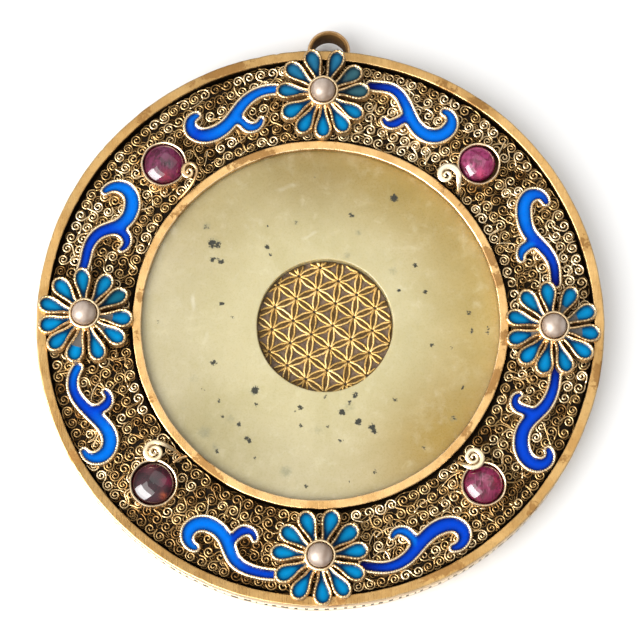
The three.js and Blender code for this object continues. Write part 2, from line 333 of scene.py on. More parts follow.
# a darker copy of the filigree wire: painted shade for the coils and stems that lie low between the others
FILI_SHADED = make_wire("filigree_wire_shaded", (0.028, 0.013, 0.004), (0.105, 0.058, 0.019), (0.27, 0.175, 0.075), 0.40)
PALE = make_wire("pale_wire", (0.34, 0.19, 0.075), (0.70, 0.50, 0.27), (0.93, 0.80, 0.57), 0.26)
ENAMEL = make_enamel("enamel")

# dark, oxidised sheet under the wires
k = Mat("oxidised_sheet", Metallic=0.0)
k.p.inputs["Specular IOR Level"].default_value = 0.04
a_ = k.mm()
n1 = k.noise(a_, 0.8, 5, 0.7)
n2 = k.noise(a_, 4.5, 4, 0.6)
k.bump(n2, 0.5, 0.08)
SHEET = k.set(Base_Color=k.mix(k.grey(n2, 0.5, 0.75), k.ramp(n1, [(0.3, (0.004, 0.003, 0.002)), (0.62, (0.012, 0.007, 0.003)), (0.85, (0.045, 0.024, 0.009))]), (0.028, 0.016, 0.007)),
              Roughness=k.grey(n1, 0.3, 0.7, 0.45, 0.7))

# jade: painted broad colour, clouds, pale streaks and dark specks where the painted channels say
k = Mat("jade", Metallic=0.0, IOR=1.62, Subsurface_Weight=0.22, Subsurface_Scale=0.0022)
k.p.inputs["Subsurface Radius"].default_value = (1.0, 0.85, 0.45)
k.p.inputs["Specular IOR Level"].default_value = 0.28
speck, streak, smoke = k.tone()
a_ = k.mm()
c1 = k.noise(a_, 0.10, 5, 0.6, 0.8)
c2 = k.noise(a_, 0.42, 5, 0.65, 0.3)
c3 = k.noise(a_, 3.2, 4, 0.7)
c4 = k.noise(k.mm((1, 0.35, 1), 25), 0.5, 4, 0.6, 1.2)
c5 = k.noise(a_, 0.30, 6, 0.65, 0.4)
col = k.mix(k.grey(c1, 0.38, 0.70, 0.0, 0.45), k.paint(), k.mix(1.0, k.paint(), (0.80, 0.78, 0.62), "MULTIPLY"))
col = k.mix(k.grey(c5, 0.48, 0.80, 0.0, 0.16), col, (0.88, 0.82, 0.58))
col = k.mix(k.grey(c2, 0.52, 0.80, 0.0, 0.22), col, (0.90, 0.85, 0.64))
col = k.mix(k.grey(c4, 0.56, 0.80, 0.0, 0.22), col, (0.42, 0.36, 0.14))
col = k.mix(k.grey(c3, 0.56, 0.74, 0.0, 0.14), col, (0.34, 0.29, 0.13))
col = k.mix(k.grey(k.math("ADD", streak, k.math("MULTIPLY", c2, 0.35)), 0.45, 1.0, 0.0, 0.85), col, (0.96, 0.94, 0.82))
grain = k.noise(a_, 4.2, 3, 0.6)
blot = k.noise(a_, 2.3, 3, 0.6)
spot = k.grey(k.math("ADD", speck, k.math("ADD", k.math("MULTIPLY", k.math("SUBTRACT", grain, 0.5), 0.9), k.math("MULTIPLY", k.math("SUBTRACT", blot, 0.5), 1.2))), 0.47, 0.66)
haze = k.grey(k.math("ADD", smoke, k.math("MULTIPLY", k.math("SUBTRACT", blot, 0.5), 0.9)), 0.22, 0.95, 0.0, 0.72)
col = k.mix(haze, col, (0.25, 0.245, 0.15))
col = k.mix(k.math("MULTIPLY", spot, 0.96), col, (0.012, 0.014, 0.007))
k.bump(k.math("ADD", c2, k.math("MULTIPLY", c3, 0.25)), 0.12, 0.06)
JADE = k.set(Base_Color=col, Roughness=k.grey(c3, 0.3, 0.7, 0.22, 0.38))

# lattice sheet and its wires
k = Mat("lattice_sheet", Metallic=0.15)
k.p.inputs["Specular IOR Level"].default_value = 0.2
petal_in, node_in, _ = k.tone()
a_ = k.mm()
n1 = k.noise(a_, 2.2, 5, 0.65)
n2 = k.noise(a_, 0.4, 3, 0.6)
col = k.mix(k.grey(k.math("ADD", petal_in, k.math("MULTIPLY", k.math("SUBTRACT", n1, 0.5), 0.5)), 0.35, 0.75), k.ramp(n1, [(0.3, (0.060, 0.038, 0.022)), (0.7, (0.235, 0.160, 0.105))]),
            k.ramp(n1, [(0.3, (0.038, 0.020, 0.005)), (0.72, (0.175, 0.098, 0.025))]))
col = k.mix(k.grey(n2, 0.5, 0.8, 0.0, 0.5), col, (0.05, 0.03, 0.015))
col = k.mix(node_in, col, (0.012, 0.007, 0.004))
k.bump(n1, 0.5, 0.06)
LATTICE = k.set(Base_Color=col, Roughness=k.grey(n1, 0.3, 0.7, 0.3, 0.5))
LAT_WIRE = make_wire("lattice_wire", (0.16, 0.085, 0.022), (0.52, 0.345, 0.118), (0.74, 0.57, 0.28), 0.60)

# garnet cabochons: painted colour and inner clouds, with painted shade at the rim and pale streaks towards the middle,
# a painted glow of light through the stone
k = Mat("garnet", Metallic=0.0, IOR=1.5, Roughness=0.05, Subsurface_Weight=0.06, Subsurface_Scale=0.0008)
k.p.inputs["Subsurface Radius"].default_value = (1.0, 0.25, 0.4)
k.p.inputs["Specular IOR Level"].default_value = 0.72
pale, dark, _ = k.tone()
a_ = k.mm()
n1 = k.noise(a_, 0.75, 4, 0.6, 0.8)
n2 = k.noise(k.mm((3.2, 0.7, 1), 8), 0.9, 4, 0.6, 0.6)
n3 = k.noise(a_, 2.4, 4, 0.6, 0.5)
col = k.mix(k.grey(n1, 0.42, 0.62), k.paint(), k.mix(1.0, k.paint(), (0.42, 0.18, 0.30), "MULTIPLY"))
col = k.mix(k.math("MULTIPLY", pale, k.grey(n2, 0.50, 0.70)), col, (0.66, 0.16, 0.32))
col = k.mix(k.grey(n3, 0.58, 0.74, 0.0, 0.45), col, k.mix(1.0, k.paint(), (1.7, 1.1, 1.2), "MULTIPLY"))
col = k.mix(dark, col, (0.010, 0.001, 0.003))
GARNET = k.set(Base_Color=col)

# pearls; the band channel is painted shade
k = Mat("pearl", Metallic=0.12, IOR=1.5, Coat_Weight=0.10, Coat_Roughness=0.30, Coat_IOR=1.5)
k.p.inputs["Specular IOR Level"].default_value = 0.32
cloudy, band, _ = k.tone()
a_ = k.mm()
n1 = k.noise(a_, 0.55, 4, 0.6, 0.4)
n2 = k.noise(k.mm((1, 1, 3.5)), 1.6, 3, 0.6)
col = k.ramp(n1, [(0.3, (0.44, 0.34, 0.27)), (0.5, (0.54, 0.435, 0.36)), (0.72, (0.64, 0.55, 0.475))])
col = k.mix(k.grey(n2, 0.55, 0.75, 0.0, 0.22), col, (0.60, 0.50, 0.44))
col = k.mix(k.math("MULTIPLY", band, 0.70), col, (0.23, 0.145, 0.100))
k.bump(n2, 0.06, 0.05)
PEARL = k.set(Base_Color=col, Roughness=k.grey(n1, 0.3, 0.7, 0.40, 0.50))

# floor
k = Mat("floor", Metallic=0.0)
n1 = k.noise(k.mm(), 0.05, 3, 0.5)
FLOOR = k.set(Base_Color=k.ramp(n1, [(0.3, (0.93, 0.93, 0.93)), (0.7, (0.95, 0.95, 0.95))]), Roughness=k.grey(n1, 0.2, 0.8, 0.75, 0.85))


# ------------------------------------------------------------------ mesh helpers
class Build:
    """Collects vertices, faces, face materials and two painted attributes, and makes one mesh piece of them."""

    def __init__(self):
        self.v, self.f, self.fm, self.tone, self.paint, self.n = [], [], [], [], [], 0

    def add(self, v, faces, mat=0, tone=(0, 0, 0), paint=(0.5, 0.5, 0.5)):
        v = np.asarray(v, float).reshape(-1, 3)
        self.v.append(v)
        self.tone.append(np.broadcast_to(np.asarray(tone, float), (len(v), 3)))
        self.paint.append(np.broadcast_to(np.asarray(paint, float), (len(v), 3)))
        for block in (faces if isinstance(faces, list) else [faces]):
            block = np.asarray(block, int)
            if len(block):
                self.f.append(block + self.n)
                self.fm.append(np.full(len(block), mat, int))
        self.n += len(v)

    def make(self, name, mats, slot, replaced=(), sharp=None, mirror=False):
        me = bpy.data.meshes.new(name)
        v = np.concatenate(self.v) * MM
        me.vertices.add(len(v))
        me.vertices.foreach_set("co", v.astype(np.float32).ravel())
        loops = np.concatenate([b.ravel() for b in self.f])
        totals = np.concatenate([np.full(len(b), b.shape[1], int) for b in self.f])
        me.loops.add(len(loops))
        me.loops.foreach_set("vertex_index", loops.astype(np.int32))
        me.polygons.add(len(totals))
        me.polygons.foreach_set("loop_start", np.concatenate([[0], np.cumsum(totals)[:-1]]).astype(np.int32))
        me.polygons.foreach_set("material_index", np.concatenate(self.fm).astype(np.int32))
        me.update(calc_edges=True)
        for label, data in (("tone", self.tone), ("paint", self.paint)):
            at = me.attributes.new(label, "FLOAT_COLOR", "POINT")
            c = np.concatenate(data)
            at.data.foreach_set("color", np.concatenate([c, np.ones((len(c), 1))], 1).astype(np.float32).ravel())
        for m in mats:
            me.materials.append(m)
        bm = bmesh.new()
        bm.from_mesh(me)
        bmesh.ops.recalc_face_normals(bm, faces=bm.faces)
        bm.to_mesh(me)
        bm.free()
        me.shade_smooth()
        if sharp is not None:
            me.set_sharp_from_angle(angle=math.radians(sharp))
        o = bpy.data.objects.new(name, me)
        bpy.context.scene.collection.objects.link(o)
        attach(o, "root")
        if replaced:
            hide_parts(*replaced)
        return o


def ring_faces(rows, sides, close_rows=False, close_sides=True):
    """Quads of a grid of rows by sides."""
    r = np.arange(rows if close_rows else rows - 1)
    s = np.arange(sides if close_sides else sides - 1)
    R, S = np.meshgrid(r, s, indexing="ij")
    R2, S2 = (R + 1) % rows, (S + 1) % sides
    return np.stack([R * sides + S, R * sides + S2, R2 * sides + S2, R2 * sides + S], -1).reshape(-1, 4)


def lathe(profile, segs, centre=(0, 0), closed=True, wobble=None):
    """Rows along the profile of (radius, height), turned about Z through centre. Also gives each point's place on the profile."""
    p = np.asarray(profile, float)
    a = np.arange(segs) * TAU / segs
    R, A = np.meshgrid(p[:, 0], a, indexing="ij")
    Z = np.repeat(p[:, 1][:, None], segs, 1)
    dr, dz = wobble(R, A, Z) if wobble is not None else (0, 0)
    v = np.stack([centre[0] + (R + dr) * np.cos(A), centre[1] + (R + dr) * np.sin(A), Z + dz], -1).reshape(-1, 3)
    return v, ring_faces(len(p), segs, close_rows=closed), (R, A, Z)


def soften(points):
    """A closed profile of (radius, height, bevel) with each bevelled corner rounded and held by a point on either side."""
    out = []
    n = len(points)
    for i in range(n):
        p = np.array(points[i][:2], float)
        w = points[i][2]
        if not w:
            out.append(tuple(p))
            continue
        a, b = np.array(points[i - 1][:2], float), np.array(points[(i + 1) % n][:2], float)
        da, db = (a - p) / np.linalg.norm(a - p), (b - p) / np.linalg.norm(b - p)
        out.append(tuple(p + da * w * 1.6))
        for t in (0, 0.25, 0.5, 0.75, 1):
            out.append(tuple((1 - t) ** 2 * (p + da * w) + 2 * t * (1 - t) * p + t * t * (p + db * w)))
        out.append(tuple(p + db * w * 1.6))
    return out


def tube(path, rad, sides=6, closed=False, tall=1.0, lobes=2, pitch=0.0, amp=0.0, cap=True, phase=0.0):
    """A wire along a path. With pitch and amp it is twisted: bumps repeat every pitch. Returns vertices, faces, groove depth."""
    P = np.asarray(path, float)
    n = len(P)
    if closed:
        T = np.roll(P, -1, 0) - np.roll(P, 1, 0)
        step = np.linalg.norm(np.roll(P, -1, 0) - P, axis=1)
        s = np.concatenate([[0], np.cumsum(step)[:-1]])
        length = step.sum()
    else:
        T = np.gradient(P, axis=0)
        step = np.linalg.norm(np.diff(P, axis=0), axis=1)
        s = np.concatenate([[0], np.cumsum(step)])
        length = s[-1]
    T /= np.maximum(np.linalg.norm(T, axis=1), 1e-9)[:, None]
    S = np.cross(np.array([0.0, 0.0, 1.0]), T)
    S /= np.maximum(np.linalg.norm(S, axis=1), 1e-9)[:, None]
    U = np.cross(T, S)
    a = np.arange(sides) * TAU / sides
    R = np.broadcast_to(np.asarray(rad, float), (n,))[:, None] * np.ones((1, sides))
    groove = np.zeros((n, sides))
    if pitch:
        if closed:
            pitch = length / max(1, round(length / pitch))
        wave = np.cos(lobes * a[None, :] - TAU * s[:, None] / pitch + phase)
        R = R * (1 + amp * wave)
        groove = 0.5 - 0.5 * wave
    v = P[:, None, :] + S[:, None, :] * (R * np.cos(a))[..., None] + U[:, None, :] * (R * np.sin(a) * tall)[..., None]
    v = v.reshape(-1, 3)
    faces = [ring_faces(n, sides, close_rows=closed)]
    if not closed and cap:
        v = np.concatenate([v, P[:1], P[-1:]])
        k = np.arange(sides)
        faces.append(np.stack([np.full(sides, n * sides), (k + 1) % sides, k], -1))
        last = (n - 1) * sides
        faces.append(np.stack([np.full(sides, n * sides + 1), last + k, last + (k + 1) % sides], -1))
        groove = np.concatenate([groove.ravel(), [0, 0]])
    return v, faces, groove.ravel()


def strap(path, half, thick, sides=14, power=3.2):
    """A flat strap with rounded edges along a path: half widths and half thicknesses at each point."""
    P = np.asarray(path, float)
    n = len(P)
    T = np.gradient(P, axis=0)
    T /= np.linalg.norm(T, axis=1)[:, None]
    S = np.cross(np.array([0.0, 0.0, 1.0]), T)
    S /= np.linalg.norm(S, axis=1)[:, None]
    U = np.cross(T, S)
    a = np.arange(sides) * TAU / sides
    ca, sa = np.cos(a), np.sin(a)
    r = (np.abs(ca) ** power + np.abs(sa) ** power) ** (-1 / power)
    H = np.broadcast_to(np.asarray(half, float), (n,))[:, None]
    K = np.broadcast_to(np.asarray(thick, float), (n,))[:, None]
    v = P[:, None, :] + S[:, None, :] * (H * (r * ca)[None, :])[..., None] + U[:, None, :] * (K * (r * sa)[None, :])[..., None]
    v = np.concatenate([v.reshape(-1, 3), P[:1], P[-1:]])
    k_ = np.arange(sides)
    last = (n - 1) * sides
    return v, [ring_faces(n, sides), np.stack([np.full(sides, n * sides), (k_ + 1) % sides, k_], -1),
               np.stack([np.full(sides, n * sides + 1), last + k_, last + (k_ + 1) % sides], -1)]


def resample(loop, step, closed=True):
    P = np.asarray(loop, float)
    Q = np.concatenate([P, P[:1]]) if closed else P
    s = np.concatenate([[0], np.cumsum(np.linalg.norm(np.diff(Q, axis=0), axis=1))])
    n = max(8, int(round(s[-1] / step)))
    at = np.linspace(0, s[-1], n, endpoint=False) if closed else np.linspace(0, s[-1], n)
    return np.stack([np.interp(at, s, Q[:, i]) for i in range(Q.shape[1])], -1)


def smoothed(loop, passes):
    P = np.asarray(loop, float)
    for _ in range(passes):
        P = 0.25 * np.roll(P, 1, 0) + 0.5 * P + 0.25 * np.roll(P, -1, 0)
    return P


def rounded(points, step):
    """A closed smooth curve through the points."""
    P = np.asarray(points, float)
    out = []
    for i in range(len(P)):
        p0, p1, p2, p3 = P[i - 1], P[i], P[(i + 1) % len(P)], P[(i + 2) % len(P)]
        for t in np.linspace(0, 1, 8, endpoint=False):
            out.append(0.5 * (2 * p1 + (p2 - p0) * t + (2 * p0 - 5 * p1 + 4 * p2 - p3) * t * t + (3 * p1 - p0 - 3 * p2 + p3) * t ** 3))
    return resample(out, step)


def inset(loop, d):
    """A counter-clockwise loop moved inwards by d."""
    P = np.asarray(loop, float)
    T = np.roll(P, -1, 0) - np.roll(P, 1, 0)
    T /= np.maximum(np.linalg.norm(T, axis=1), 1e-9)[:, None]
    return P + np.stack([-T[:, 1], T[:, 0]], -1) * d


def inside(loop, pts):
    x, y = pts[:, 0], pts[:, 1]
    hit = np.zeros(len(pts), bool)
    a = loop
    b = np.roll(loop, -1, 0)
    for (ax, ay), (bx, by) in zip(a, b):
        if ay == by:
            continue
        hit ^= ((ay > y) != (by > y)) & (x < (bx - ax) * (y - ay) / (by - ay) + ax)
    return hit


def edge_distance(loop, pts):
    a = loop[None, :, :]
    b = np.roll(loop, -1, 0)[None, :, :]
    ab = b - a
    t = np.clip(((pts[:, None, :] - a) * ab).sum(-1) / np.maximum((ab ** 2).sum(-1), 1e-12), 0, 1)
    return np.linalg.norm(pts[:, None, :] - (a + ab * t[..., None]), axis=-1).min(1)


def filled(loop, step):
    """Triangles that fill a loop, with inner points on a staggered grid. The loop's own points come first."""
    lo, hi = loop.min(0), loop.max(0)
    rows = []
    y, odd = lo[1] + step * 0.5, False
    while y < hi[1]:
        xs = np.arange(lo[0] + (step * 0.5 if odd else 0), hi[0], step)
        rows.append(np.stack([xs, np.full(len(xs), y)], -1))
        y += step * 0.866
        odd = not odd
    pts = np.concatenate(rows)
    pts = pts[inside(loop, pts)]
    if len(pts):
        pts = pts[edge_distance(loop, pts) > step * 0.4]
    n = len(loop)
    allp = np.concatenate([loop, pts])
    made = delaunay_2d_cdt([Vector(p) for p in allp], [(i, (i + 1) % n) for i in range(n)], [], 1, 1e-7)
    V = np.array([tuple(p) for p in made[0]])
    F = np.array([f for f in made[2] if len(f) == 3], int)
    return V, F


def slab(loop, step, top, bottom):
    """A closed body over a loop: its top follows a height function of points and their distance from the edge."""
    V, F = filled(loop, step)
    n, m = len(loop), len(V)
    d = edge_distance(loop, V)
    z = top(V, d)
    v = np.concatenate([np.column_stack([V, z]), np.column_stack([V, np.full(m, bottom)])])
    k_ = np.arange(n)
    sides_ = np.stack([k_, (k_ + 1) % n, (k_ + 1) % n + m, k_ + m], -1)
    return v, [F, F[:, ::-1] + m, sides_], d


def contour(xs, ys, F, level):
    """The longest closed line where the field meets the level, counter-clockwise round the higher side."""
    G = F - level
    G[G == 0] = 1e-9
    C = (G > 0)
    code = C[:-1, :-1] * 1 + C[:-1, 1:] * 2 + C[1:, 1:] * 4 + C[1:, :-1] * 8
    pts, nxt = {}, {}

    def edge(i, j, d):
        key = (i, j, d)
        if key not in pts:
            if d == 0:
                a, b = G[i, j], G[i, j + 1]
                pts[key] = (xs[j] + a / (a - b) * (xs[j + 1] - xs[j]), ys[i])
            else:
                a, b = G[i, j], G[i + 1, j]
                pts[key] = (xs[j], ys[i] + a / (a - b) * (ys[i + 1] - ys[i]))
        return key
    ways = {1: "BL", 2: "RB", 4: "TR", 8: "LT", 3: "RL", 6: "TB", 12: "LR", 9: "BT", 7: "TL", 11: "RT", 13: "BR", 14: "LB", 5: "BLTR", 10: "RBLT"}
    for i, j in zip(*np.nonzero((code > 0) & (code < 15))):
        w = ways[int(code[i, j])]
        spot = {"B": (i, j, 0), "T": (i + 1, j, 0), "L": (i, j, 1), "R": (i, j + 1, 1)}
        for q in range(0, len(w), 2):
            nxt[edge(*spot[w[q]])] = edge(*spot[w[q + 1]])
    best, seen = [], set()
    for start in nxt:
        if start in seen:
            continue
        loop, at = [], start
        while at in nxt and at not in seen:
            seen.add(at)
            loop.append(pts[at])
            at = nxt[at]
        if len(loop) > len(best):
            best = loop
    return np.array(best)


def along(values, t):
    values = np.asarray(values, float)
    return np.interp(np.asarray(t) * (len(values) - 1), np.arange(len(values)), values)


def bend(spec, n):
    """Points of a curve whose curvature changes evenly between the given values."""
    x, y, heading, length, *curvature = spec
    angle, out = math.radians(heading), []
    for i in range(n * 8 + 1):
        if i % 8 == 0:
            out.append((x, y, i / (n * 8)))
        step = length / (n * 8)
        turn = float(along(curvature, min(1, (i + 0.5) / (n * 8)))) * step
        x += math.cos(angle + turn / 2) * step
        y += math.sin(angle + turn / 2) * step
        angle += turn
    return np.array(out)


# ------------------------------------------------------------------ the frame: rim, wall, channel, bezel ring
R_OUT, RIM_IN, TOP = 45.0, 43.45, 6.5
RING_OUT, RING_IN, SEAT_R = 29.8, 28.4, 29.3
# brown tarnish: first and last degree and strength, on the rim and on the bezel ring
RIM_STAIN = [(16, 18, .6), (53, 57, .8), (60, 65, .7), (106, 115, 1), (117, 119, .6), (128, 131, .7), (208, 211, .8), (271, 275, .7), (291, 299, 1), (317, 319, .7), (329, 331, .6), (347, 351, 1)]
RING_STAIN = [(12, 16, .9), (19, 25, 1), (39, 41, .5), (47, 49, .5), (90, 94, .3), (105, 120, 1), (138, 144, .7), (170, 173, .7), (183, 185, .5), (204, 206, .6), (228, 239, 1), (320, 326, .7), (337, 345, 1), (352, 357, .8)]


def stain(deg, table):
    out = np.zeros_like(deg)
    for a, b, s in table:
        mid, half = (a + b) / 2, (b - a) / 2 + 0.9
        d = np.abs((deg - mid + 180) % 360 - 180)
        out = np.maximum(out, s * np.clip(1.25 - d / half, 0, 1) ** 0.6)
    return out


def frame_wobble(R, A, Z):
    """A hand-made ring: edges wander a little, the rim is nicked here and there."""
    dr = 0.045 * np.sin(3 * A + 0.4) + 0.03 * np.sin(7 * A + 1.9) + 0.018 * np.sin(23 * A + R) + 0.012 * np.sin(61 * A + 2 * R)
    dz = np.where(Z > 5.9, 0.035 * np.sin(2 * A + 1) + 0.02 * np.sin(11 * A + 0.5 * R) + 0.012 * np.sin(37 * A), 0)
    nick = np.zeros_like(A)
    for deg, depth in ((92, .10), (95.5, .07), (99, .12), (103, .08), (213, .08), (246, .06), (286, .07), (322, .09), (17, .06), (141, .07)):
        d = np.abs((np.degrees(A) - deg + 180) % 360 - 180)
        nick = np.maximum(nick, depth * np.clip(1 - d / 0.7, 0, 1))
    dr = dr - np.where((R > 44.6) & (Z > 5.9), nick, 0)
    return dr * np.where(R > 27, 1, 0) * np.where(Z < 0.05, 0.0, 1.0), dz


b = Build()
prof = [(29.3, 0.0, 0), (45.0, 0.0, 0.16), (45.0, 1.2, 0), (45.0, 3.6, 0), (45.0, 6.5, 0.22)]
prof += [(r, 6.5, 0) for r in (44.6, 44.35, 44.1, 43.85)]
prof += [(43.45, 6.5, 0.16), (43.45, 6.0, 0), (43.45, 4.0, 0), (42.9, 4.0, 0), (42.9, 1.0, 0), (30.35, 1.0, 0), (30.35, 4.0, 0), (29.8, 4.0, 0), (29.8, 6.0, 0), (29.8, 6.5, 0.16)]
prof += [(r, 6.5, 0) for r in (29.4, 29.1, 28.8)]
prof = soften(prof + [(28.4, 6.5, 0.2), (28.4, 5.45, 0.1), (29.3, 5.45, 0)])
v, f, (R, A, Z) = lathe(prof, 480, wobble=frame_wobble)
deg = np.degrees(A)
# a stain keeps mostly to the middle or one side of the strip, and not to its whole width
across = np.where(R > 40, (R - 43.45) / 1.55, (R - 28.4) / 1.4)
lean = 0.5 + 0.38 * np.sin(A * 9.3 + 1.1) + 0.2 * np.sin(A * 23)
tar = np.where(R > 40, stain(deg, RIM_STAIN), stain(deg, RING_STAIN)) * np.clip(1.5 - np.abs(across - lean) * 1.4, 0.35, 1)
tar = np.where(Z > 6.0, tar, 0.35 * tar)
# painted shade: the walls darken downwards inside the channel between the rim and the bezel ring
painted_shade = np.where((Z < 6.2) & (R < 43.5) & (R > 29.75), np.clip((6.42 - Z) / 0.4, 0, 1), 0.0)
# a pale edge on the rounded top corners, partly wear and partly a painted highlight; the outer wall is painted paler
# too, a painted reflection of the pale floor
edge_ = np.where((Z > 6.28) & (Z < 6.49), 0.7, 0.0)
edge_ = np.where((R > 44.85) & (Z < 5.9), 0.45, edge_)
# the rim is painted darker than the bezel ring, most at the lower left and at the top, a little lighter at the upper
# right
rim_tone = 0.375 * (1 - 0.20 * np.exp(-((((deg - 95 + 180) % 360) - 180) / 38) ** 2) + 0.12 * np.exp(-((((deg - 40 + 180) % 360) - 180) / 28) ** 2) - 0.33 * np.exp(-((((deg - 228 + 180) % 360) - 180) / 48) ** 2))
rim_tone = rim_tone * (1 + 0.05 * np.sin(11 * A + 0.7) + 0.04 * np.sin(29 * A + 2.0))
tint = np.where((R > 40)[..., None], rim_tone[..., None] * np.array([1.0, 1.0, 0.98]), np.array([0.485, 0.50, 0.545]))
b.add(v, f, 0, np.stack([tar, edge_, painted_shade], -1).reshape(-1, 3), tint.reshape(-1, 3))
# the pierced band round the foot of the wall: pale metal, its paleness partly a painted highlight, with small openings,
# unevenly spaced. The openings are not cut: their faces take the near-black sheet, painted shade.
band = [(44.8, 0.95), (45.02, 1.0), (45.02, 1.35), (45.02, 3.2), (45.02, 3.6), (44.8, 3.65)]
v, f, (R, A, Z) = lathe(band, 1200, wobble=frame_wobble)
open_ = np.zeros(1200)
around = A[0]
a = 0.0
while a < TAU - 0.02:
    width = (rng.uniform(0.55, 0.85) if rng.random() < 0.8 else rng.uniform(0.9, 1.5)) / 45
    open_[(around >= a) & (around < a + width)] = rng.uniform(0.8, 1.3)
    a += width + rng.uniform(0.45, 0.85) / 45
painted_openings = (open_[None, :] * np.where((Z > 1.3) & (Z < 3.3), 1.0, 0.0)).ravel()[f].min(1) > 0.5
base_ = b.n
b.add(v, f[~painted_openings], 1, (0.2, 0.95, 0))
b.f.append(f[painted_openings] + base_)
b.fm.append(np.full(int(painted_openings.sum()), 2, int))
b.make("frame_body", [GILT, PALE, SHEET], "gilt", ["frame_back", "frame_wall", "frame_bezel"], sharp=42)


# ------------------------------------------------------------------ the oxidised panel and its wire coils
b = Build()
panel =[(30.12, 4.0), (43.13, 4.0), (43.13, 4.85)] + [(r, 4.98) for r in np.linspace(43.0, 30.3, 26)] + [(30.12, 4.85)]
v, f, _ = lathe(panel, 360, wobble=lambda R, A, Z: (0 * R, np.where(Z > 4.9, 0.05 * np.sin(R * 2.9 + 3 * np.sin(A * 17)) * np.sin(A * 90 + R), 0)))
b.add(v, f)
b.make("panel_sheet", [SHEET], "dark_gilt", ["filigree_panel"], sharp=50)

FLOWERS = {
    "top": (0.41, 37.49, [106, 69, 34, 4, -31, -59, -90, -120, -150, 175, 140]),
    "right": (36.77, -1.16, [97, 62, 26, -7, -37, -72, -104, -133, -165, 163, 129]),
    "bottom": (-0.07, -37.39, [110, 73, 39, 9, -24, -55, -86, -121, -154, 174, 143]),
    "left": (-37.21, 0.81, [95, 60, 31, -4, -34, -70, -104, -136, -166, 163, 129]),
}
# curls, read from where the tail leaves them, back round by quarters of a turn: radius, half-width
TIGHT = ([1.62, 1.42, 1.18, 1.0, 0.83, 0.65, 0.45, 0.27, 0.12], [0.40, 0.42, 0.40, 0.36, 0.30, 0.26, 0.22, 0.18, 0.12])
OPEN = ([2.0, 1.42, 1.0, 0.85, 0.62, 0.45, 0.3, 0.15], [0.50, 0.55, 0.45, 0.36, 0.28, 0.22, 0.18, 0.12])
EAR = ([1.25, 1.5, 0.85, 0.75, 0.5, 0.5, 0.25, 0.15], [0.26, 0.28, 0.40, 0.34, 0.26, 0.22, 0.18, 0.12])
STONES = [
    dict(x=25.41, y=25.78, collet=3.52, stone=2.84, curl=OPEN, turn=(20.12, 23.63), exit=0, end=(22.3, 20.75), pale=(1.0, 1.0, 0.95, 0.9)),
    dict(x=-25.06, y=25.63, collet=3.74, stone=3.28, curl=EAR, turn=(-21.0, 24.05), exit=-10, end=(-22.7, 20.3), pale=(0.55, 0.35, 0.05, 0.0)),
    dict(x=-26.06, y=-25.96, collet=3.84, stone=3.36, curl=TIGHT, turn=(-25.9, -21.2), exit=78, end=(-21.75, -21.4), pale=(0.7, 0.75, 0.72, 0.60)),
    dict(x=25.49, y=-26.02, collet=3.60, stone=3.10, curl=TIGHT, turn=(23.86, -21.95), exit=-104, end=(21.1, -22.0), pale=(0.9, 0.9, 0.8, 0.6)),
]


def coil(centre, R, hand, target, turns, z, tilt, steps=12):
    """From the middle outwards, then along the tangent to the target."""
    c, t_ = np.array(centre), np.array(target)
    d = t_ - c
    D = max(np.hypot(*d), R * 1.03)
    last = math.atan2(d[1], d[0]) - hand * math.acos(R / D)
    n = int(turns * steps) + 2
    t = np.linspace(0, 1, n)
    a = last - hand * TAU * turns * (1 - t)
    r = 0.10 + (R - 0.10) * t ** 0.86
    xy = c + np.stack([r * np.cos(a), r * np.sin(a)], -1)
    tail = t_ - xy[-1]
    m = max(2, int(np.hypot(*tail) / 0.4))
    side = np.array([-tail[1], tail[0]]) * rng.uniform(-0.10, 0.10)
    s = np.linspace(0, 1, m + 1)[1:]
    xy = np.concatenate([xy, xy[-1] + s[:, None] * tail + (np.sin(s * math.pi))[:, None] * side])
    rise = np.concatenate([0.10 * (1 - t) ** 2, -0.05 * s])
    zz = z + rise + (xy - c) @ np.array(tilt)
    return np.column_stack([xy, zz])


quads = [Build() for _ in range(4)]


def quadrant(x, y):
    return int((math.degrees(math.atan2(y, x)) % 360) // 90)


def hidden(x, y):
    for fx, fy, _ in FLOWERS.values():
        if math.hypot(x - fx, y - fy) < 2.0:
            return True
    return any(math.hypot(x - s["x"], y - s["y"]) < s["collet"] - 1.2 for s in STONES)


def lay_wire(path, r, pale, sides=6, tall=1.3, mat=0):
    v, f, _ = tube(path, r, sides, tall=tall)
    zc = np.concatenate([np.repeat(path[:, 2], sides), path[:1, 2], path[-1:, 2]])
    # painted shade on the low side of each wire
    low = np.clip(0.5 - (v[:, 2] - zc) / (2 * np.max(r) * tall), 0, 1)
    tone = np.stack([np.clip(low * 1.9 - 0.15, 0, 1.1), np.full(len(v), pale), np.zeros(len(v))], -1)
    mid = path[len(path) // 2]
    quads[quadrant(mid[0], mid[1])].add(v, f, mat, tone)


# how pale each group of coils is: the paler and darker groups stand in for how brightly the coils catch the light,
# painted highlight and painted shade, darker towards the lower left
def broad_tone(x, y):
    a = math.atan2(y, x)
    r = math.hypot(x, y)
    return 0.56 + 0.12 * math.sin(5 * a + 1.3) + 0.10 * math.sin(13 * a + r) + 0.06 * math.sin(r * 1.7) - 0.13 * math.cos(a - math.radians(222))


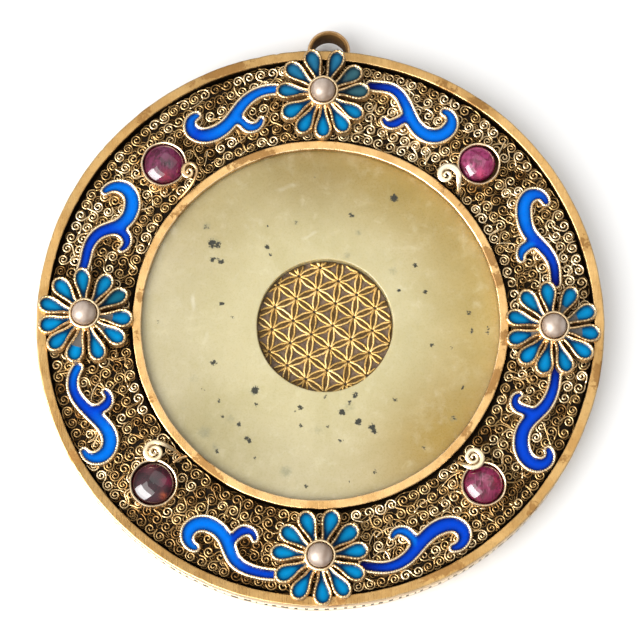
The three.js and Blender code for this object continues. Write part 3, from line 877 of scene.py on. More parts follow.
def coil_layer(rows, first, last, pitch, low_r, high_r, wire, height, shift, sides, mat):
    """Pairs of coils in rings, each pair wound from one wire."""
    for row in range(rows):
        r_row = first + row * (last - first) / (rows - 1)
        count = int(round(TAU * r_row / pitch / 2)) * 2
        start = rng.uniform(0, TAU)
        places = []
        for i in range(count):
            a = start + i * TAU / count + rng.uniform(-0.07, 0.07) / r_row
            rr = r_row + rng.uniform(-0.07, 0.07)
            places.append((rr * math.cos(a), rr * math.sin(a)))
        for i in range(0, count, 2):
            A_, B_ = np.array(places[i]), np.array(places[i + 1])
            ax = (B_ - A_) / np.linalg.norm(B_ - A_)
            perp = np.array([-ax[1], ax[0]])
            mid = (A_ + B_) / 2
            kind = rng.random()
            if kind < 0.34:                      # an S: both turn the same way and meet between
                reach = mid + perp * rng.uniform(-0.1, 0.1)
                h = rng.choice((-1, 1))
                hands = (h, h)
            else:                                # a C or a V: they meet on one side
                p = rng.choice((-1, 1)) * (rng.uniform(0.80, 1.05) if kind < 0.66 else rng.uniform(1.3, 2.0))
                if row == 0 and p > 0 or row == rows - 1 and p < 0:
                    p = math.copysign(min(abs(p), 0.95), p)
                # the row runs counter-clockwise, so its perp points inwards
                reach = mid + perp * p
                s_ = -1 if p > 0 else 1
                if rng.random() < 0.3:
                    s_ = -s_
                hands = (s_, -s_)
            shade = broad_tone(*mid) + shift + rng.uniform(-0.32, 0.30)
            for c_, h in ((A_, hands[0]), (B_, hands[1])):
                if hidden(*c_):
                    continue
                R_ = rng.uniform(low_r, high_r)
                path = coil(c_, R_, h, reach, rng.uniform(1.35, 1.9), height + rng.uniform(-0.05, 0.07), (rng.uniform(-0.05, 0.05), rng.uniform(-0.05, 0.05)), 12 if sides > 4 else 8)
                lay_wire(path, wire + rng.uniform(-0.014, 0.02), float(np.clip(shade + rng.uniform(-0.18, 0.18), 0.02, 1)), sides, mat=mat)


coil_layer(8, 31.02, 42.46, 1.95, 0.66, 0.80, 0.130, 5.02, 0.06, 4, 1)
coil_layer(7, 31.14, 42.22, 1.93, 0.84, 0.93, 0.158, 5.19, -0.05, 6, 0)

# stems that run between the rows: a few long pale ones on top, many short ones low between the coils in the darker wire
# copy, painted shade
for q in range(330):
    top_one = q < 90
    r0 = rng.uniform(30.8, 42.3)
    a0 = rng.uniform(0, TAU)
    heading = a0 + math.pi / 2 + rng.choice((-1, 1)) * rng.uniform(0.35, 1.3)
    x, y = r0 * math.cos(a0), r0 * math.sin(a0)
    if hidden(x, y):
        continue
    length = rng.uniform(2.4, 4.2) if top_one else rng.uniform(1.2, 2.8)
    bend_ = rng.uniform(-0.35, 0.35) if top_one else rng.choice((-1, 1)) * rng.uniform(0.3, 1.6)
    z0 = 5.32 if top_one else 5.10
    pts, n = [], 10
    for i in range(n + 1):
        if not 30.4 < math.hypot(x, y) < 42.85:
            break
        pts.append((x, y, z0 + 0.03 * math.sin(i)))
        heading += bend_ * length / n
        x += math.cos(heading) * length / n
        y += math.sin(heading) * length / n
    if len(pts) > 5:
        if top_one:
            lay_wire(np.array(pts), 0.125, float(np.clip(broad_tone(x, y) + rng.uniform(-0.1, 0.35), 0, 1)))
        else:
            lay_wire(np.array(pts), 0.115, float(np.clip(broad_tone(x, y) + rng.uniform(-0.35, 0.3), 0, 1)), 5, mat=1)

for q, part in enumerate(quads):
    part.make(f"filigree_wires_{q + 1}", [FILI, FILI_SHADED], "dark_gilt")


# ------------------------------------------------------------------ back plate with the wire lattice that shows through the hole
HOLE_R, HOLE_X, HOLE_Y = 10.8, 0.72, -0.23
b = Build()
plate = soften([(0.001, 0.0, 0), (29.0, 0.0, 0.2), (29.0, 2.7, 0.2), (0.001, 2.7, 0)])
v, f, _ = lathe(plate, 240, wobble=lambda R, A, Z: (0 * R, 0 * R))
b.add(v, f, 0, (0.15, 0.0, 0))
b.make("back_sheet", [BACK], "dark_gilt", ["back_plate"], sharp=42)

LAT = 3.66
LAT_TURN = math.radians(22.8)
NODE0 = (2.02, 0.0)


def lattice_node(i, j):
    x = LAT * (i + 0.5 * j)
    y = LAT * (math.sqrt(3) / 2) * j
    c, s = math.cos(LAT_TURN), math.sin(LAT_TURN)
    return np.array([NODE0[0] + x * c - y * s, NODE0[1] + x * s + y * c])


LAT_Z = 3.4
lat_edges = []
for i in range(-6, 7):
    for j in range(-6, 7):
        p = lattice_node(i, j)
        if math.hypot(p[0] - HOLE_X, p[1] - HOLE_Y) > HOLE_R + LAT:
            continue
        for di, dj in ((1, 0), (0, 1), (-1, 1)):
            lat_edges.append((p, lattice_node(i + di, j + dj)))

b = Build()
rings, segs = 56, 260
rr = np.linspace(0.02, HOLE_R - 0.08, rings)
aa = np.arange(segs) * TAU / segs
RR, AA = np.meshgrid(rr, aa, indexing="ij")
X, Y = HOLE_X + RR * np.cos(AA), HOLE_Y + RR * np.sin(AA)
pts = np.stack([X.ravel(), Y.ravel()], -1)
in_petal = np.zeros(len(pts))
near_node = np.zeros(len(pts))
for p, q in lat_edges:
    d = (q - p) / LAT
    w = np.array([-d[1], d[0]])
    u, s = (pts - p) @ d / LAT, (pts - p) @ w
    lens = np.clip(np.sqrt(np.maximum(LAT ** 2 - (LAT * (u - 0.5)) ** 2 - 0, 0)) - LAT * math.sqrt(3) / 2, 0, 1)
    m = (u > 0) & (u < 1)
    in_petal = np.where(m, np.maximum(in_petal, np.clip((lens - np.abs(s)) / 0.15, 0, 1)), in_petal)
    for e in (p, q):
        near_node = np.maximum(near_node, np.clip(1.2 - np.linalg.norm(pts - e, axis=1) / 0.28, 0, 1))
z = LAT_Z + 0.10 * in_petal - 0.08 * near_node
v = np.column_stack([pts, z])
low = np.column_stack([pts[-segs:], np.full(segs, 2.705)])
centre = np.array([[HOLE_X, HOLE_Y, LAT_Z], [HOLE_X, HOLE_Y, 2.705]])
n0 = len(v)
k_ = np.arange(segs)
faces = [ring_faces(rings, segs),
         np.stack([np.full(segs, n0 + segs), k_, (k_ + 1) % segs], -1),
         np.stack([n0 - segs + k_, n0 - segs + (k_ + 1) % segs, n0 + (k_ + 1) % segs, n0 + k_], -1),
         np.stack([np.full(segs, n0 + segs + 1), n0 + (k_ + 1) % segs, n0 + k_], -1)]
tone = np.zeros((len(v) + segs + 2, 3))
tone[:len(v), 0] = in_petal
tone[:len(v), 1] = near_node
b.add(np.concatenate([v, low, centre]), faces, 0, tone)
b.make("lattice_sheet", [LATTICE], "dark_gilt", sharp=60)

b = Build()
for p, q in lat_edges:
    d = (q - p) / LAT
    w = np.array([-d[1], d[0]])
    for side in (-1, 1):
        t = np.linspace(0.055, 0.945, 25)
        lens = 0.43 * np.sin(math.pi * t) ** 0.85 + 0.02 * np.sin(t * 17 + side + p[0] * 5)
        xy = p + np.outer(t * LAT, d) + np.outer(side * (lens + 0.01), w)
        ok = np.hypot(xy[:, 0] - HOLE_X, xy[:, 1] - HOLE_Y) < HOLE_R - 0.16
        xy = xy[ok]
        if len(xy) < 4:
            continue
        path = np.column_stack([xy, LAT_Z + 0.17 + 0.03 * np.sin(np.linspace(0, math.pi, len(xy)))])
        path = resample(path, 0.15, closed=False)
        v, f, g = tube(path, (0.185 + 0.012 * np.sin(np.arange(len(path)) * 1.9)) * np.clip(0.62 + 1.9 * np.sin(np.linspace(0, math.pi, len(path))), 0.62, 1), 7, tall=1.1, phase=rng.uniform(0, TAU))
        # painted shade on the low side of each wire
        low_side = np.clip((LAT_Z + 0.19 - v[:, 2]) / 0.16, 0, 1)
        b.add(v, f, 0, np.stack([low_side, np.full(len(v), 0.52 + rng.uniform(-0.20, 0.25)), low_side * 0], -1))
b.make("lattice_wires", [LAT_WIRE], "dark_gilt")


# ------------------------------------------------------------------ jade disc
SPECKS = [  # x, y, size in millimetres, strength
    (11.85, 20.6, .55, 1), (5.0, 17.8, .4, .85), (6.1, 14.9, .3, .55), (-3.9, 16.5, .35, .65), (-0.9, 24.1, .3, .75), (-8.5, 15.9, .25, .75), (-8.5, 12.5, .35, 1), (-8.0, 11.3, .25, .8),
    (-17.3, 13.1, .6, 1), (-16.4, 12.8, .45, .95), (-18.2, 15.9, .45, .6), (-17.2, 10.4, .35, .9), (-15.8, 10.1, .4, 1), (-16.6, 10.6, .25, .8), (-15.7, 3.2, .35, .95), (-13.9, 1.0, .3, .6),
    (-25.7, 0.2, .3, .75), (-16.9, -6.4, .45, .9), (-10.3, -10.8, .55, 1), (-10.1, -13.2, .3, .85), (-18.5, -10.7, .3, .65), (-16.0, -12.5, .3, .85), (-15.4, -15.1, .3, .8), (-12.9, -16.3, .35, .85),
    (-11.5, -18.5, .4, .9), (-11.1, -18.9, .35, .9), (-16.2, -20.6, .35, .85), (-10.3, -21.6, .3, .75), (-2.2, -26.1, .3, .85), (1.2, -16.6, .3, .75), (-3.1, -13.6, .4, .85), (-4.0, -14.2, .25, .7),
    (-3.0, -16.4, .3, .8), (3.25, -18.9, .35, .8), (0.8, -11.8, .3, .7), (3.4, -14.2, .45, .95), (4.6, -12.8, .35, .85), (5.5, -11.6, .4, .9), (6.0, -15.8, .45, 1), (8.2, -16.7, .5, 1),
    (8.5, -17.4, .35, .9), (11.9, -12.3, .4, .75), (8.6, -23.7, .3, .85), (4.6, -25.4, .25, .7), (16.3, -20.0, .3, .75), (21.0, -15.2, .4, .65), (15.1, 9.5, .35, .9), (16.8, 5.2, .35, .9),
    (12.5, 5.4, .3, .85), (17.7, -3.5, .35, .85), (20.9, -3.8, .25, .8), (23.6, 1.8, .35, .85), (24.0, -1.1, .35, .75), (26.6, -0.7, .25, .85), (26.6, -1.6, .25, .8), (22.6, -10.2, .3, .75),
]
b = Build()
jr, jz0, jz1 = 29.0, 2.7, 5.2
rows_ = []                                   # each row: share of the way from hole to rim, extra radius, height
for z_ in (2.7, 3.3, 4.0, 4.6):
    rows_.append((0.0, 0.0, z_))
for a in np.radians([0, 22.5, 45, 67.5, 90]):
    rows_.append((0.0, 0.20 * (1 - math.cos(a)), 5.0 + 0.20 * math.sin(a)))
for t in np.linspace(0.035, 0.975, 66):
    rows_.append((t, 0.0, 5.2))
for a in np.radians([90, 60, 30, 0]):
    rows_.append((1.0, -0.3 * (1 - math.cos(a)), 4.9 + 0.3 * math.sin(a)))
rows_ += [(1.0, 0.0, 3.6), (1.0, 0.0, 2.7)]
rows_ += [(t, 0.0, 2.7) for t in (0.75, 0.5, 0.25)]
segs = 360
aa = np.arange(segs) * TAU / segs
V = []
for t, extra, z_ in rows_:
    cx, cy = HOLE_X * (1 - t), HOLE_Y * (1 - t)
    radius = HOLE_R + (jr - HOLE_R) * t + extra
    if t == 0.0:
        radius = radius + 0.05 * np.sin(2 * aa + 0.6) + 0.025 * np.sin(5 * aa + 2.0) + 0.012 * np.sin(17 * aa)
    zz = np.full(segs, z_)
    if z_ == 5.2:
        zz = zz + 0.012 * np.sin(3 * aa + 4 * t) * math.sin(5 * t)
    V.append(np.stack([cx + radius * np.cos(aa), cy + radius * np.sin(aa), zz], -1))
V = np.concatenate(V)
x, y = V[:, 0], V[:, 1]
speck, smoke = np.zeros(len(V)), np.zeros(len(V))
for sx, sy, size, strength in SPECKS:
    for q in range(3):
        ox, oy = (0, 0) if q == 0 else (rng.uniform(-0.8, 0.8) * size, rng.uniform(-0.8, 0.8) * size)
        d = np.hypot(x - sx - ox, y - sy - oy) / (size * (0.98 if q == 0 else 0.60))
        speck = np.maximum(speck, strength * np.clip(1.10 - 0.50 * d, 0, 1))
    smoke = np.maximum(smoke, strength * np.exp(-((x - sx) ** 2 + (y - sy) ** 2) / (size * 1.5) ** 2) * 0.55)
for sx, sy, size, strength in ((-18.2, -17.6, 1.4, .75), (-16.5, -20.0, 1.0, .65), (-14.2, -15.4, 1.3, .55), (-5.4, -23.8, 1.2, .8), (-17.0, 13.2, 1.2, .7), (-18.2, 15.9, .8, .8), (-20.0, -8.8, 1.1, .5),
                               (6.1, 14.9, .7, .7), (4.3, 11.1, .8, .65), (11.6, 8.6, .9, .65), (21.0, -15.3, .8, .7), (24.0, -1.2, .7, .6), (-0.3, -17.2, 1.1, .5), (-10.4, -11.0, 1.1, .6), (4.5, -13.5, 1.4, .5),
                               (-21.5, -13.5, 1.3, .4), (-3.9, 16.5, .7, .6), (5.0, 17.7, .7, .6)):
    smoke = np.maximum(smoke, strength * np.exp(-((x - sx) ** 2 + (y - sy) ** 2) / size ** 2))
speck[V[:, 2] < 4.8] *= 0.5
streak = np.zeros(len(V))
for sx, sy, ang, ln, wd, st in ((-5.5, 22.3, 12, 3.6, .9, .42), (-8.8, 20.8, 60, 2.2, .6, .32), (-6.0, 18.0, -30, 2.6, .7, .3), (-20.2, 3.4, 80, 3.0, .7, .5), (-13.5, 7.5, 40, 2.6, .6, .4),
                                (-9.0, -6.5, 20, 3.0, .9, .4), (14.5, 15.0, -40, 3.4, .7, .3), (-18.0, -2.0, 60, 3.0, .8, .4), (-4.0, -20.0, 10, 4.0, 1.0, .35), (9.0, -19.5, -20, 3.0, .8, .3),
                                (-1.5, 14.5, 15, 3.0, .6, .45), (19.0, -9.0, 50, 2.4, .5, .3), (-12.0, 16.0, 110, 2.0, .5, .4)):
    c, s = math.cos(math.radians(ang)), math.sin(math.radians(ang))
    u, w = (x - sx) * c + (y - sy) * s, -(x - sx) * s + (y - sy) * c
    streak = np.maximum(streak, st * np.exp(-(u / ln) ** 2 - ((w - 0.25 * np.sin(u * 1.4)) / wd) ** 2))
# broad colour: pale cream in the middle left and low, olive up and right; then a painted shade towards the rim, next to
# the bezel ring
centre_c, edge_c = np.array([0.600, 0.530, 0.300]), np.array([0.585, 0.520, 0.330])
compass, away = np.degrees(np.arctan2(y, x)), np.hypot(x, y)
paint = np.broadcast_to(edge_c, (len(V), 3)).copy()
for colour, towards, spread in (((0.43, 0.37, 0.195), -130, 32), ((0.50, 0.375, 0.125), 8, 55), ((0.375, 0.262, 0.062), 62, 50), ((0.285, 0.195, 0.045), 98, 26), ((0.43, 0.35, 0.160), 130, 28), ((0.385, 0.255, 0.050), -42, 28)):
    share = np.exp(-(((compass - towards + 180) % 360 - 180) / spread) ** 2)[:, None]
    paint = paint + (np.array(colour) - paint) * share
out_ = np.clip((away - 11.5) / 15.0, 0, 1)
out_ = (out_ * out_ * (3 - 2 * out_))[:, None]
paint = centre_c + (paint - centre_c) * out_
# painted shade next to the bezel ring
paint = paint * (1 - 0.16 * np.clip((away - 26.6) / 1.8, 0, 1))[:, None]
# the wall of the hole is painted darker, painted shade
wall_ = (np.hypot(x - HOLE_X, y - HOLE_Y) < HOLE_R + 0.12) & (V[:, 2] < 4.9)
paint = np.where(wall_[:, None], paint * 0.85, paint)
b.add(V, ring_faces(len(rows_), segs, close_rows=True), 0, np.stack([speck, streak, smoke], -1), paint)
b.make("jade_body", [JADE], "jade", ["jade_disc"], sharp=50)


# ------------------------------------------------------------------ bail
b = Build()
BX, BY, BR, BT = 1.4, 45.0, 3.45, 0.7
mid_r = BR - BT / 2
outer, rows_, n = [], [], 60
for i in range(n + 1):
    a = math.pi * i / n
    rows_.append((BX + mid_r * math.cos(a), BY + mid_r * math.sin(a), a))
rows_ = [(BX + mid_r, BY - 0.35, 0.0)] + rows_ + [(BX - mid_r, BY - 0.35, math.pi)]
sect = []                                    # section of the strip: thickness outwards, height
hw, hh, cr = BT / 2, 2.3, 0.16
for cx, cy, a0 in ((hw - cr, hh - cr, 0), (-hw + cr, hh - cr, 90), (-hw + cr, -hh + cr, 180), (hw - cr, -hh + cr, 270)):
    for a in (0, 30, 60, 90):
        sect.append((cx + cr * math.cos(math.radians(a0 + a)), cy + cr * math.sin(math.radians(a0 + a))))
sect = np.array(sect)
V = []
for x_, y_, a in rows_:
    o_ = np.array([math.cos(a), math.sin(a)])
    V.append(np.stack([x_ + sect[:, 0] * o_[0], y_ + sect[:, 0] * o_[1], 3.9 + sect[:, 1] + 0.02 * np.sin(6 * a) * np.ones(len(sect))], -1))
V = np.concatenate(V)
ns = len(sect)
faces = [ring_faces(len(rows_), ns), np.arange(ns)[None, ::-1], ((len(rows_) - 1) * ns + np.arange(ns))[None, :]]
# the inner side painted dark and brown, painted shade; the top edges of the outer side painted pale, a painted
# highlight
inner_side = np.tile(np.where(sect[:, 0] < -0.1, 1.0, 0.0), len(rows_))
top_edge = np.tile(np.where(np.abs(sect[:, 1]) > 2.1, 0.8, 0.0), len(rows_))
b.add(V, faces, 0, np.stack([0.75 * inner_side + 0.18, 0.5 * top_edge * (1 - inner_side), 0.55 * inner_side], -1), (0.34, 0.325, 0.35))
b.make("bail_strip", [GILT], "gilt", ["bail"], sharp=50)


# ------------------------------------------------------------------ flowers
NAVY, COBALT, AZURE = np.array([0.001, 0.006, 0.24]), np.array([0.0008, 0.062, 0.64]), np.array([0.0008, 0.185, 0.84])
PETAL_BLUE, PETAL_STEEL, PETAL_TEAL = np.array([0.001, 0.245, 0.56]), np.array([0.022, 0.150, 0.26]), np.array([0.004, 0.225, 0.41])
# worn petals: (flower, direction): (how worn, from, to along the petal)
WORN = {("left", -4): (1.0, 0, 4.4), ("left", -34): (0.9, 0, 3.9), ("left", -104): (1.2, 0, 5.0), ("right", 62): (0.8, 0, 4.3), ("right", 26): (0.75, 0, 4.6), ("right", -7): (0.9, 0, 4.8),
        ("right", -165): (0.7, 0, 3.6), ("top", 34): (0.45, 0, 5.5), ("top", 4): (0.35, 0, 4.5), ("bottom", -154): (0.5, 0, 3.4)}
for name, (fx, fy, petals) in FLOWERS.items():
    metal, glass = Build(), Build()
    for deg in petals:
        c, s = math.cos(math.radians(deg)), math.sin(math.radians(deg))
        wide, reach = rng.uniform(0.96, 1.04), rng.uniform(0.975, 1.01)
        half = [(2.0, .42), (3.4, .74), (4.3, 1.03), (5.2, 1.33), (6.1, 1.47), (6.95, 1.26), (7.5, .78)]
        pts = [(u * reach, -w * wide) for u, w in half] + [(7.78 * reach, 0)] + [(u * reach, w * wide) for u, w in reversed(half)]
        loop = smoothed(rounded(pts, 0.16), 2)
        tilt, sag = rng.uniform(-0.04, 0.05), rng.uniform(-0.05, 0.03)

        def place(q, z):
            u, w = q[:, 0], q[:, 1]
            return np.column_stack([fx + u * c - w * s, fy + u * s + w * c, z + tilt * (u - 4) + sag])
        # the cell: a floor and a wall whose flank shows outside, given the darker gilt as painted shade between the
        # petals
        V, F, d = slab(inset(loop, 0.2), 0.6, lambda P, d: np.full(len(P), 6.74), 6.5)
        metal.add(place(V[:, :2], V[:, 2]), F, 1, (0.85, 0.25, 0))
        ring_ = resample(loop, 0.21)
        rows4 = [place(inset(ring_, d_), np.full(len(ring_), z_)) for d_, z_ in ((-0.13, 6.0), (0.03, 7.12), (0.36, 7.12), (0.38, 6.6))]
        metal.add(np.concatenate(rows4), ring_faces(4, len(ring_), close_rows=True), 1, (0.30, 0.25, 0))
        # its wire border, a little notched round the tip, with painted shade in the notches and on its low side
        line = resample(inset(loop, 0.22), 0.125)
        P3 = place(line, np.full(len(line), 7.20))
        tip = np.clip((line[:, 0] - 5.2) / 1.5, 0.0, 1)
        v, f, g = tube(P3, 0.245 + 0.010 * np.sin(np.arange(len(line)) * 1.7), 7, closed=True, tall=1.15, pitch=0.55, amp=(0.02 + 0.055 * tip)[:, None], phase=rng.uniform(0, TAU))
        tip = np.repeat(tip, 7)
        low = np.clip((7.20 - v[:, 2]) / 0.20, 0, 1)
        pale = 0.36 + rng.uniform(-0.10, 0.12)
        metal.add(v, f, 0, np.stack([np.clip(g * tip * 0.6 + low * 0.95, 0, 1.1), np.full(len(v), pale), 0 * g], -1))
        # the enamel, sunk below the wire, with a glossy lip where it climbs the wall
        V, F, d = slab(inset(loop, 0.37), 0.24, lambda P, d: 6.86 + 0.17 * np.exp(-d / 0.17) - 0.03 * np.clip(d / 0.8, 0, 1), 6.77)
        u, w = V[:, 0], V[:, 1]
        high = 1 / (1 + math.exp(-(s * 1.0 - 0.1) * 4))               # petals that point up are duller
        lowest = PETAL_BLUE * rng.uniform(0.86, 1.08)
        col = lowest + ((PETAL_STEEL if name == "top" else PETAL_TEAL) - lowest) * (high * (0.85 if name == "top" else 0.30))
        if (name, deg) in (("top", 34), ("top", 4)):
            col = np.array([0.038, 0.12, 0.15])
        if (name, deg) == ("left", 31):
            col = np.array([0.006, 0.14, 0.23])
        # painted shade: the enamel darkens towards the hub, in its colour and in the shade channel, and along the
        # cell's edge
        paint = col[None, :] * (1.12 - 0.45 * np.clip((4.6 - u) / 2.4, 0, 1))[:, None]
        wear = np.zeros(len(V))
        if (name, deg) in WORN:
            k_, a0, a1 = WORN[(name, deg)]
            wear = k_ * np.clip((a1 - u) / 0.9 + 0.5, 0, 1)
        d = np.tile(d, 2)
        shade = np.clip(1.55 * np.exp(-d / 0.46) - 0.08 + 0.75 * np.clip((4.6 - u) / 1.9, 0, 1), 0, 1)
        glass.add(place(V[:, :2], V[:, 2]), F, 0, np.stack([wear, shade, np.exp(-d / 0.09)], -1), paint)
    # hub under the petals and the tall collet of the pearl
    hub = [(0.001, 5.0), (2.15, 5.0), (2.15, 6.7), (2.36, 6.75), (2.36, 7.25), (2.32, 7.4), (2.32, 8.2), (2.38, 8.70), (2.48, 8.86), (2.45, 9.02), (2.30, 9.12), (2.10, 9.08), (1.99, 8.95), (1.97, 8.5), (1.95, 7.3), (0.001, 7.3)]
    v, f, (R, A, Z) = lathe(hub, 72, (fx, fy), wobble=lambda R, A, Z: (np.where((Z > 6.9) & (R > 1.5), 0.02 * np.sin(5 * A + 1) + 0.012 * np.sin(13 * A), 0), np.where(Z > 8.5, 0.02 * np.sin(4 * A), 0)))
    # painted shade inside the collet and, lightly, on its lower wall
    painted_shade = np.where((Z > 8.6), 0.0, np.where(R < 2.05, 1.0, 0.15))
    metal.add(v, f, 0, np.stack([painted_shade, np.full_like(painted_shade, 0.62), 0 * painted_shade], -1).reshape(-1, 3))
    # solder beads where the petals meet the collet
    for i in range(11):
        a = math.radians(petals[i]) + 0.28 + rng.uniform(-0.05, 0.05)
        rb, zb = 2.42, 7.28 + rng.uniform(-0.04, 0.06)
        h = np.linspace(-1, 1, 7)
        rr = 0.20 * np.sqrt(np.maximum(1 - h ** 2, 0.01))
        v, f, _ = lathe(list(zip(rr, zb + 0.2 * h)), 10, (fx + rb * math.cos(a), fy + rb * math.sin(a)), closed=False)
        metal.add(v, [f, np.arange(10)[None, ::-1], (60 + np.arange(10))[None, :]], 0, (0.3, 0.5, 0))
    metal.make(f"flower_{name}_cells", [PALE, BACK], "pale_gilt", [f"flower_{name}"], sharp=55)
    glass.make(f"flower_{name}_enamel", [ENAMEL], "turquoise_enamel", [f"flower_{name}"], sharp=60)
    # the pearl, not quite round
    p = Build()
    n, m = 40, 56
    th = np.linspace(0.0005, math.pi - 0.0005, n)
    ph = np.arange(m) * TAU / m
    TH, PH = np.meshgrid(th, ph, indexing="ij")
    rad = 1.93 + 0.018 * np.sin(2 * PH + 1.1) * np.sin(TH) + 0.012 * np.sin(3 * TH + fx) - 0.015 * np.cos(4 * PH + fy) * np.sin(TH) ** 2
    V = np.stack([fx + rad * np.sin(TH) * np.cos(PH), fy + rad * np.sin(TH) * np.sin(PH), 9.15 - 0.02 + rad * np.cos(TH)], -1).reshape(-1, 3)
    px, py = (V[:, 0] - fx) / 1.93, (V[:, 1] - fy) / 1.93
    # painted shade: a dark band right of the middle and a darker rim
    band = np.clip(0.75 * np.exp(-((px - 0.42 - 0.10 * np.sin(3 * py + fx)) / 0.22) ** 2) + np.clip((np.hypot(px, py) - 0.72) / 0.3, 0, 1), 0, 1)
    p.add(V, [ring_faces(n, m), np.arange(m)[None, ::-1], ((n - 1) * m + np.arange(m))[None, :]], 0, np.stack([0 * px, band, 0 * px], -1))
    p.make(f"pearl_{name}_nacre", [PEARL], "pearl", [f"pearl_{name}"])


# ------------------------------------------------------------------ scrolls
SCROLLS = [
    [[37.45, 6.48, 94.0, 19.35, -0.096, 0.225, 0.072, -0.218, -0.079, -0.557, -0.659], [34.26, 13.04, -164.0, 3.93, 0.088, 0.422, 0.903]],
    [[8.23, 39.19, -12.2, 20.78, 0.214, -0.345, -0.078, 0.16, 0.328, 0.338, 0.848], [14.07, 33.95, -163.5, 4.5, 0.517, -0.426, -1.102]],
    [[-6.98, 38.51, -183.8, 20.1, 0.158, 0.159, 0.116, -0.142, -0.174, -0.509, -0.757], [-13.53, 33.89, -29.1, 5.39, -0.548, 0.686, 0.628]],
    [[-37.81, 8.71, 68.0, 20.58, 0.216, -0.168, -0.267, 0.295, 0.209, 0.445, 0.323], [-33.17, 15.17, -9.7, 5.0, -0.078, -0.625, -0.711]],
    [[-38.29, -7.39, -124.7, 20.09, 0.232, 0.257, 0.072, -0.051, -0.303, -0.411, -0.611], [-36.01, -14.2, 9.4, 4.96, -0.022, 0.534, 0.993]],
    [[-7.09, -40.07, 178.2, 20.76, -0.077, -0.079, -0.292, 0.199, 0.243, 0.511, 0.551], [-14.06, -34.93, 39.7, 5.34, 0.313, -0.605, -0.833]],
    [[6.74, -38.6, -10.2, 22.02, -0.008, 0.176, 0.15, -0.085, -0.18, -0.586, -0.501], [14.95, -35.49, 108.8, 5.26, 0.148, 0.423, 0.989]],
    [[37.16, -6.75, -88.4, 22.63, -0.037, -0.111, -0.153, 0.229, 0.183, 0.459, 0.759], [33.8, -14.72, 134.4, 5.48, 0.744, -0.579, -1.249]],
]
WIDTH, BRANCH = [1.08, 1.14, 1.26, 1.38, 1.5, 1.42, 0.9], [0.95, 1.12, 0.75]
# enamel colour at even steps from stem to tip, then of the branch
SHADES = [
    [(NAVY, COBALT, COBALT, AZURE, AZURE, COBALT), AZURE], [(NAVY, COBALT, AZURE, AZURE, AZURE, AZURE), COBALT],
    [(AZURE, AZURE, AZURE, AZURE, COBALT, AZURE), AZURE], [(COBALT, COBALT, COBALT, AZURE, AZURE, AZURE), COBALT],
    [(AZURE, COBALT, COBALT, AZURE, AZURE, AZURE), COBALT], [(COBALT, COBALT, AZURE, AZURE, AZURE, AZURE), COBALT],
    [(NAVY, COBALT, COBALT, COBALT, COBALT, COBALT), AZURE], [(NAVY, COBALT, COBALT, COBALT, COBALT, COBALT), COBALT],
]


def ribbon_field(P, line, widths):
    """Half-width less distance at each point, and the share of the way along the line."""
    best, where = np.full(len(P), -9.0), np.zeros(len(P))
    for a, b_ in zip(line[:-1], line[1:]):
        ab = b_[:2] - a[:2]
        t = np.clip(((P - a[:2]) @ ab) / (ab @ ab), 0, 1)
        d = np.linalg.norm(P - a[:2] - t[:, None] * ab, axis=1)
        share = a[2] + (b_[2] - a[2]) * t
        h = along(widths, share) - d
        m = h > best
        best, where = np.where(m, h, best), np.where(m, share, where)
    return best, where


